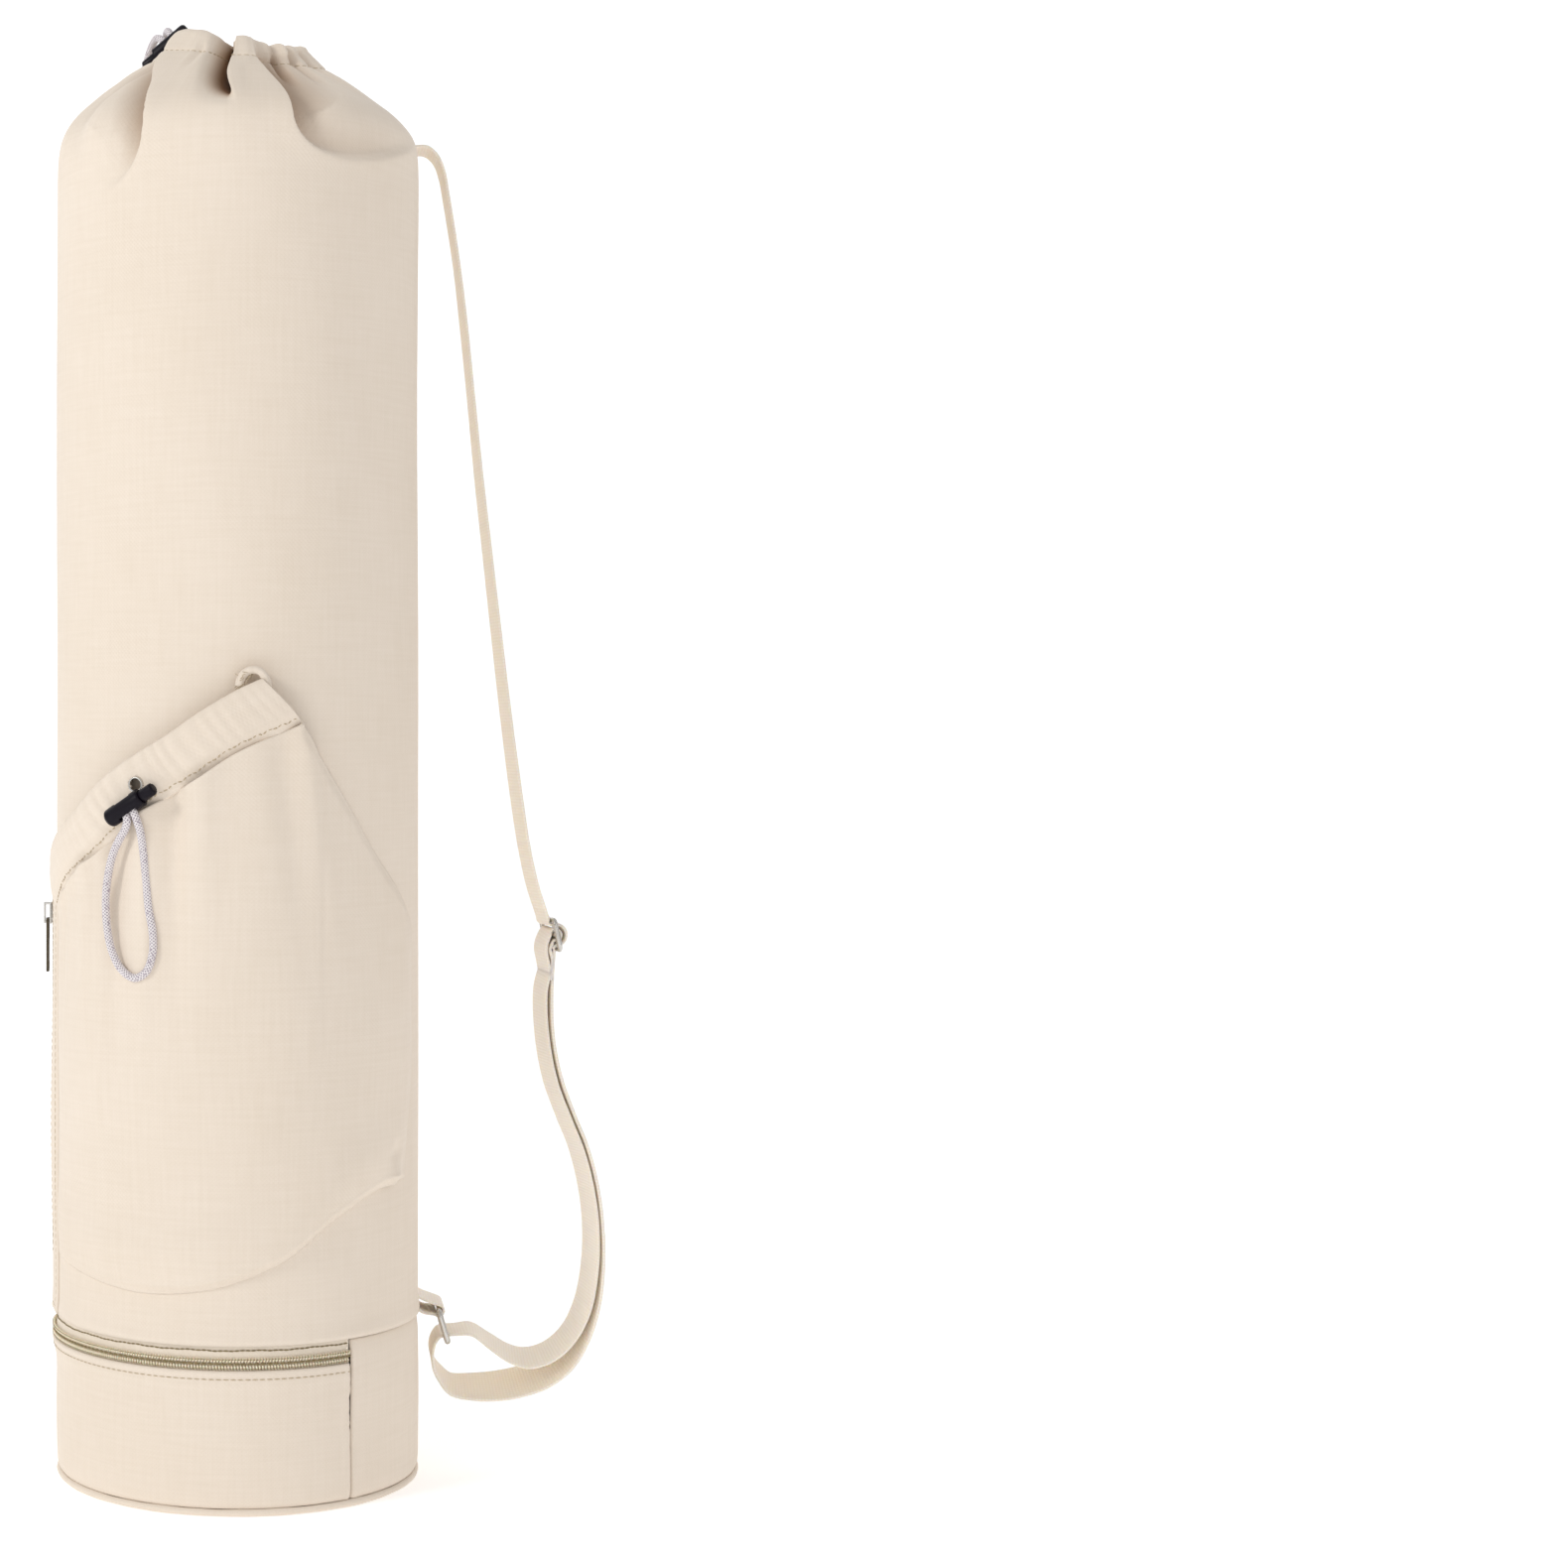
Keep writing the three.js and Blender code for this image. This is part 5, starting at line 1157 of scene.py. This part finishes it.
STRAP_INNER = [
    (0.3, 0.1005, -3), (0.4, 0.0915, -6), (0.5, 0.0825, -8), (0.6, 0.0785, -10), (0.72, 0.083, -10),
    (0.83, 0.0965, -10), (0.908, 0.118, -11), (0.95, 0.149, -11), (0.954, 0.181, -11), (0.928, 0.2095, -11),
    (0.876, 0.238, -11), (0.806, 0.2625, -11), (0.733, 0.2905, -10), (0.688, 0.3245, -9), (0.68, 0.36, -8),
]


def strap_rows(rows):
    """Rows of reach, height and roll as places x, z in mm and rolls in radians."""
    rows = np.array(rows, float)
    place = np.stack([TUBE_RADIUS + STRAP_REACH * rows[:, 0], ANCHOR_HEIGHT * rows[:, 1]], -1)
    return place, np.radians(rows[:, 2])


def by_adjuster(along, aside):
    """Places x, z from the adjuster's middle: mm down along it and mm to its right."""
    return adjuster + np.multiply.outer(along, fall) + np.multiply.outer(aside, away)


def adjuster_arc(centre, radius, start, end, count):
    """A bend of the strap round one of the adjuster's bars."""
    turn = np.radians(np.linspace(start, end, count))
    return by_adjuster(centre + radius * np.cos(turn), radius * np.sin(turn))


RING_WRAP = [(-2.5, -18.5), (-6, -13), (-7, -6.5), (-5.8, -1.2), (-3.2, 2.1), (0.4, 2.75), (5, 3.1)]
low_bar = np.array([BAR_X + math.sqrt(1 - RING_FALL**2) * RING_PITCH, BAR_Z - RING_FALL * RING_PITCH])
ring_wrap = low_bar + np.array(RING_WRAP)
ring_rolls = np.radians([7, 3, 0, 0, 0, 0, 0])
tail_aside = [-END_BEND - LAYER, -END_BEND - LAYER + 0.1, -END_BEND - LAYER * 0.9, -END_BEND - LAYER * 0.35,
              -END_BEND * 0.8]
tail = by_adjuster(np.array([1.7, 1.15, 0.85, 0.62, 0.43]) * BAR_PITCH, np.array(tail_aside))
tail_end = by_adjuster(
    np.array([0.12, 0.5, 1, 1.7, 2.9]) * BAR_PITCH,
    -END_BEND - LAYER * np.array([0.65, 1.45, 1.95, 2.0, 2.05]))
over_bars = np.vstack([
    adjuster_arc(-BAR_PITCH, END_BEND, 250, 360, 5),
    adjuster_arc(0, BAR_PITCH - END_BEND, 180, 0, 8)[1:-1],
    adjuster_arc(BAR_PITCH, END_BEND, 180, 270, 5),
])
round_middle = adjuster_arc(0, END_BEND, -10, 235, 10)
segments = [
    strap_rows(STRAP_DOWN), (over_bars, None), strap_rows(STRAP_OUTER), (ring_wrap, ring_rolls),
    strap_rows(STRAP_INNER), (tail, None), (round_middle, None), (tail_end, None),
]


def with_width(place, roll, tangent):
    """The width direction at each place: rolled about the route's own direction, or the adjuster's."""
    if roll is None:
        return np.broadcast_to(across3, (len(place), 3))
    beside = np.stack([-tangent[:, 1], np.zeros(len(place)), tangent[:, 0]], -1)
    return np.cos(roll)[:, None] * BACKWARDS - np.sin(roll)[:, None] * beside


def in_strap_plane(flat):
    """Places x, z put into the upright plane in which the strap hangs."""
    return stacked(flat[:, 0], float(STRAP_BACK), flat[:, 1])


WIDTH_SHARE = 30  # weight of the width direction beside the places, in mm, when both are splined
STRAP_ROWS = 1500
route = np.vstack([place for place, _ in segments])
tangent = unit(np.vstack([route[1] - route[0], route[2:] - route[:-2], route[-1] - route[-2]]))
start, widths = 0, []
for place, roll in segments:
    widths.append(with_width(place, roll, tangent[start : start + len(place)]))
    start += len(place)
strap_data = spline(np.hstack([route, WIDTH_SHARE * np.vstack(widths)]), STRAP_ROWS)
moves = np.linalg.norm(np.diff(strap_data[:, :2], axis=0), axis=1) > 1e-6
strap_data = strap_data[np.concatenate([[True], moves])]
strap_path = in_strap_plane(strap_data)
strap_side = unit(strap_data[:, 2:])
print("strap length", round(run_of(strap_path)[-1]), "mm")

# %% [markdown]
# ## Webbing
# The webbing is a thick weave of cotton, ribbed across. Its ribs follow the strap's UV, so they turn with
# it.


# %% Webbing finish and strap
def webbing_finish():
    """Thick cotton: ribs across and yarns along, as two waves multiplied, with slubs; painted shade darkens
    the gaps between them.
    """
    material, tree, shader = new_finish("cotton_webbing")
    uv = cloth_uv(tree)
    ribs = []
    for axis, apart, wander in (("Y", 1.5, 0.4), ("X", 1.7, 0.7)):
        wave = add(
            tree, "TexWave", [("Vector", uv, "UV")], {"bands_direction": axis},
            Scale=wave_scale(apart), Distortion=wander, Detail=1.0,
        )
        ribs.append((wave, "Fac"))
    weave = combine(tree, "MULTIPLY", *ribs)
    slub = drawn_noise(tree, uv, (0.5, 0.06, 1), 3.0)
    bump = relief(tree, combine(tree, "ADD", (weave, 0), (slub, "Fac")), 0, 0.6, 0.22)
    # Painted shade: darker where the weave is low, in the gaps between ribs and yarns.
    tone = tones(tree, ramp(tree, weave, 0, 0.0, 0.6, 0.22, 0.0), 0, "#FFF5EA", "#E6D0B4")
    # Light comes through the cotton, golden.
    put(
        tree, shader, [("Base Color", tone, "Color"), ("Normal", bump, "Normal")],
        Subsurface_Weight=0.35, Subsurface_Radius=(1.0, 0.75, 0.4), Subsurface_Scale=3 * MM,
        Roughness=0.88, Specular_IOR_Level=0.25, Sheen_Weight=0.1,
    )
    return material


webbing = webbing_finish()


def ribbon_section(width, thick):
    """A flat section with rounded edges, as points across and out, going round it."""
    flat = width / 2 - thick / 2
    top = stacked(np.linspace(-1, 1, 13) * flat, thick / 2)
    edge = np.radians([60, 20, -20, -60])
    right = stacked(flat + thick / 2 * np.cos(edge), thick / 2 * np.sin(edge))
    return np.vstack([top, right, -top, -right])


def ribbon(name, path, side, width, node):
    """Webbing along a path, wide in the direction side. Its back has its own strip of UV, 40 mm along."""
    section = ribbon_section(width, STRAP_THICK)
    grid = carried(path, section, side)
    across_mm = np.append(section[:, 0], section[0, 0]) + np.where(np.append(section[:, 1], 1) < 0, 40, 0)
    uv = stacked(across_mm[None], run_of(path)[:, None])
    faces, uv_faces = ([f[::-1] for f in these] for these in tube_faces(len(path), len(section)))
    piece(mesh_of(name, grid, faces, uv, uv_faces), webbing, replaces=[node])


ribbon("webbing_strap", strap_path, strap_side, STRAP_WIDTH, "shoulder_strap")

TAB_ROWS = 160
TAB_START = TUBE_RADIUS - 1.5
tab_bend = RING_WIRE + PLAY + STRAP_THICK / 2
tab_turn = np.radians(np.linspace(70, -130, 10))
tab_route = np.vstack([
    [(TAB_START - 1, BAR_Z + 8.2), (TAB_START + 4.5, BAR_Z + 5.3)],
    stacked(BAR_X + tab_bend * np.cos(tab_turn), BAR_Z + tab_bend * np.sin(tab_turn)),
    [(TAB_START + 4.2, BAR_Z - 0.9), (TAB_START - 1, BAR_Z + 3.0)],
])
tab_path = in_strap_plane(spline(tab_route, TAB_ROWS))
tab_side = np.broadcast_to(BACKWARDS, (TAB_ROWS, 3))
ribbon("webbing_ring_tab", tab_path, tab_side, STRAP_WIDTH - 2, "ring_tab")

# %% [markdown]
# ## Metal fittings
# The adjuster, the ring, two sliders and the eyelet are nickel plated steel: bright, a little warm, with
# faint wear. The adjuster and the ring are round wire carried round a rounded rectangle, and the adjuster
# has a middle bar welded in.

# %% Nickel and wire fittings
nickel = mottled(
    "nickel_plated_steel", 260.0, 4.0, "#DAD8D4", "#B9B5AE", gloss=(0.3, 0.75, 0.16, 0.34), Metallic=1.0
)
WIRE_SIDES, CORNER_STEPS = 14, 9
HALF_FRAME = (STRAP_WIDTH + 4) / 2


def wire_loop(centre, across, down, down_from, down_to, corner, wire):
    """Round wire on a rounded rectangle. Returns the points and faces of a closed tube."""
    line = []
    spots = [(HALF_FRAME, down_to), (-HALF_FRAME, down_to), (-HALF_FRAME, down_from), (HALF_FRAME, down_from)]
    for quarter, (x, y) in enumerate(spots):
        turn = np.radians(np.linspace(90 * quarter, 90 * quarter + 90, CORNER_STEPS))
        cx, cy = x - np.sign(x) * corner, y - np.sign(y - (down_from + down_to) / 2) * corner
        line.append(stacked(cx + corner * np.cos(turn), cy + corner * np.sin(turn)))
    flat = np.vstack(line)
    path = centre + flat[:, :1] * across + flat[:, 1:] * down
    normal = np.broadcast_to(np.cross(across, down), path.shape)
    grid = carried(path, round_section(wire, WIRE_SIDES), normal, closed_path=True)
    faces = grid_faces(len(path) + 1, WIRE_SIDES, wrap=True) % (len(path) * WIRE_SIDES)
    return grid.reshape(-1, 3), [tuple(f) for f in faces]


centre = np.array([adjuster[0], STRAP_BACK, adjuster[1]])
middle_bar = np.linspace(centre - across3 * HALF_FRAME, centre + across3 * HALF_FRAME, 4)
adjuster_parts = [
    wire_loop(centre, across3, fall3, -BAR_PITCH, BAR_PITCH, 2.6, ADJUSTER_WIRE),
    rod(middle_bar, ADJUSTER_WIRE, WIRE_SIDES, (1, 0, 0.3)),
]
sewn("wire_adjuster", adjuster_parts, nickel, ["strap_adjuster"])

ring_centre = np.array([BAR_X, STRAP_BACK, BAR_Z], float)
ring_down = np.array([math.sqrt(1 - RING_FALL**2), 0, -RING_FALL])
ring_wire = wire_loop(ring_centre, BACKWARDS, ring_down, 0, RING_PITCH, 2.8, RING_WIRE)
sewn("wire_ring", [ring_wire], nickel, ["strap_ring"])

# %% [markdown]
# ## Fittings from the frame
# Sliders, pull, eyelet and cord locks have their true shape in the frame. A copy of each is merged and gets
# fine rounded edges, as a die cast or moulded piece has, and stands for the frame's own.


# %% Rounded copies
def rounded_copy(name, node, material, body, edge):
    """A copy of a frame node with its doubles merged and its sharp edges rounded by some mm."""
    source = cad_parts[node]
    mesh = source.data.copy()
    mesh.name = name
    mesh.materials.clear()
    work = bmesh.new()
    work.from_mesh(mesh)
    bmesh.ops.remove_doubles(work, verts=work.verts, dist=1e-6)
    bmesh.ops.dissolve_limit(work, angle_limit=math.radians(2), verts=work.verts, edges=work.edges)
    work.to_mesh(mesh)
    work.free()
    mesh.polygons.foreach_set("use_smooth", np.ones(len(mesh.polygons), bool))
    made = piece(mesh, material, body, replaces=[node])
    bevel = made.modifiers.new("rounded edges", "BEVEL")
    bevel.width = edge * MM
    bevel.segments = 3
    bevel.limit_method = "ANGLE"
    bevel.angle_limit = math.radians(32)
    bevel.harden_normals = True


# Moulded acetal, nearly black with a violet cast, satin, with a fine moulded grain.
acetal = mottled(
    "moulded_black_acetal", 180.0, 3.0, "#0B0710", "#15101B",
    gloss=(0.3, 0.7, 0.3, 0.45), grain=1500.0, Specular_IOR_Level=0.16,
)
# Baked enamel on the zip pull, dark olive, worn a little thin, over zinc.
enamel = mottled("olive_baked_enamel", 420.0, 3.0, "#5A4D36", "#362D1E", Metallic=0.35, Roughness=0.38)
rounded_copy("pocket_cord_lock", "pocket_lock_barrel", acetal, "bag", 0.3)
rounded_copy("pocket_lock_plunger", "pocket_lock_button", acetal, "pocket_button", 0.3)
rounded_copy("neck_cord_lock", "neck_lock_barrel", acetal, "bag", 0.3)
rounded_copy("neck_lock_plunger", "neck_lock_button", acetal, "neck_button", 0.3)
rounded_copy("side_slider", "side_zip_slider", nickel, "bag", 0.22)
rounded_copy("side_pull", "side_zip_pull", enamel, "zip_pull", 0.2)
rounded_copy("foot_slider", "bottom_zip_slider", nickel, "bag", 0.3)
rounded_copy("pocket_eyelet_ring", "pocket_eyelet", nickel, "bag", 0.15)

# %% [markdown]
# ## Floor and light
# The bag stands in a bright plain studio: a white sweep, one large soft light from the front left, a weak
# one from the right, and a pale surround that opens the shadows.


# %% Floor and light
def studio():
    """A sheet of white paper: a floor that bends up behind the bag in a quarter circle."""
    bend = np.linspace(0, np.pi / 2, 24)
    curve = np.stack([2600 + 1500 * np.sin(bend), 1500 - 1500 * np.cos(bend)], -1)
    line = np.vstack([[(-6000, 0), (2600, 0)], curve[1:], [(4100, 6000)]])
    grid = stacked(np.array([-7000.0, 7000.0])[None], line[:, :1], line[:, 1:])
    mesh = grid_mesh("studio_sweep", grid)
    material, tree, shader = new_finish("matt_white_paper")
    put(
        tree, shader, Base_Color=linear("#FBFBFB"), Roughness=1.0,
        Emission_Color=linear("#FFFFFF"), Emission_Strength=0.34,
    )
    mesh.materials.append(material)
    sweep = bpy.data.objects.new("studio_sweep", mesh)
    scene.collection.objects.link(sweep)


def soft_light(name, place, aim, size, power, tone):
    """A round lamp at a place in metres, size across, that shines at aim. power is in watts."""
    data = bpy.data.lights.new(name, "AREA")
    data.shape = "DISK"
    data.size = size
    data.energy = power
    data.color = linear(tone)[:3]
    light = bpy.data.objects.new(name, data)
    light.location = place
    scene.collection.objects.link(light)
    turn = (np.array(aim) - np.array(place)).tolist()
    flat = math.hypot(turn[0], turn[1])
    light.rotation_euler = (math.atan2(flat, -turn[2]), 0, math.atan2(turn[1], turn[0]) - math.pi / 2)


studio()
soft_light("key", (-2.1, -1.5, 1.7), (0, 0, 0.4), 0.8, 24, "#FFFDFA")
soft_light("fill", (1.5, -2.2, 0.9), (0, 0, 0.35), 1.6, 4, "#FFF2EC")
scene.world = bpy.data.worlds.new("pale_surround")
scene.world.use_nodes = True
sky = scene.world.node_tree
# The surround lights the bag softly, and is plain white behind it.
paths = add(sky, "LightPath")
strength = combine(sky, "MULTIPLY_ADD", (paths, "Is Camera Ray"), 0.4, 0.6)
put(sky, sky.nodes["Background"], [("Strength", strength, 0)], Color=(1, 1, 1, 1))
scene.view_settings.view_transform = "Standard"
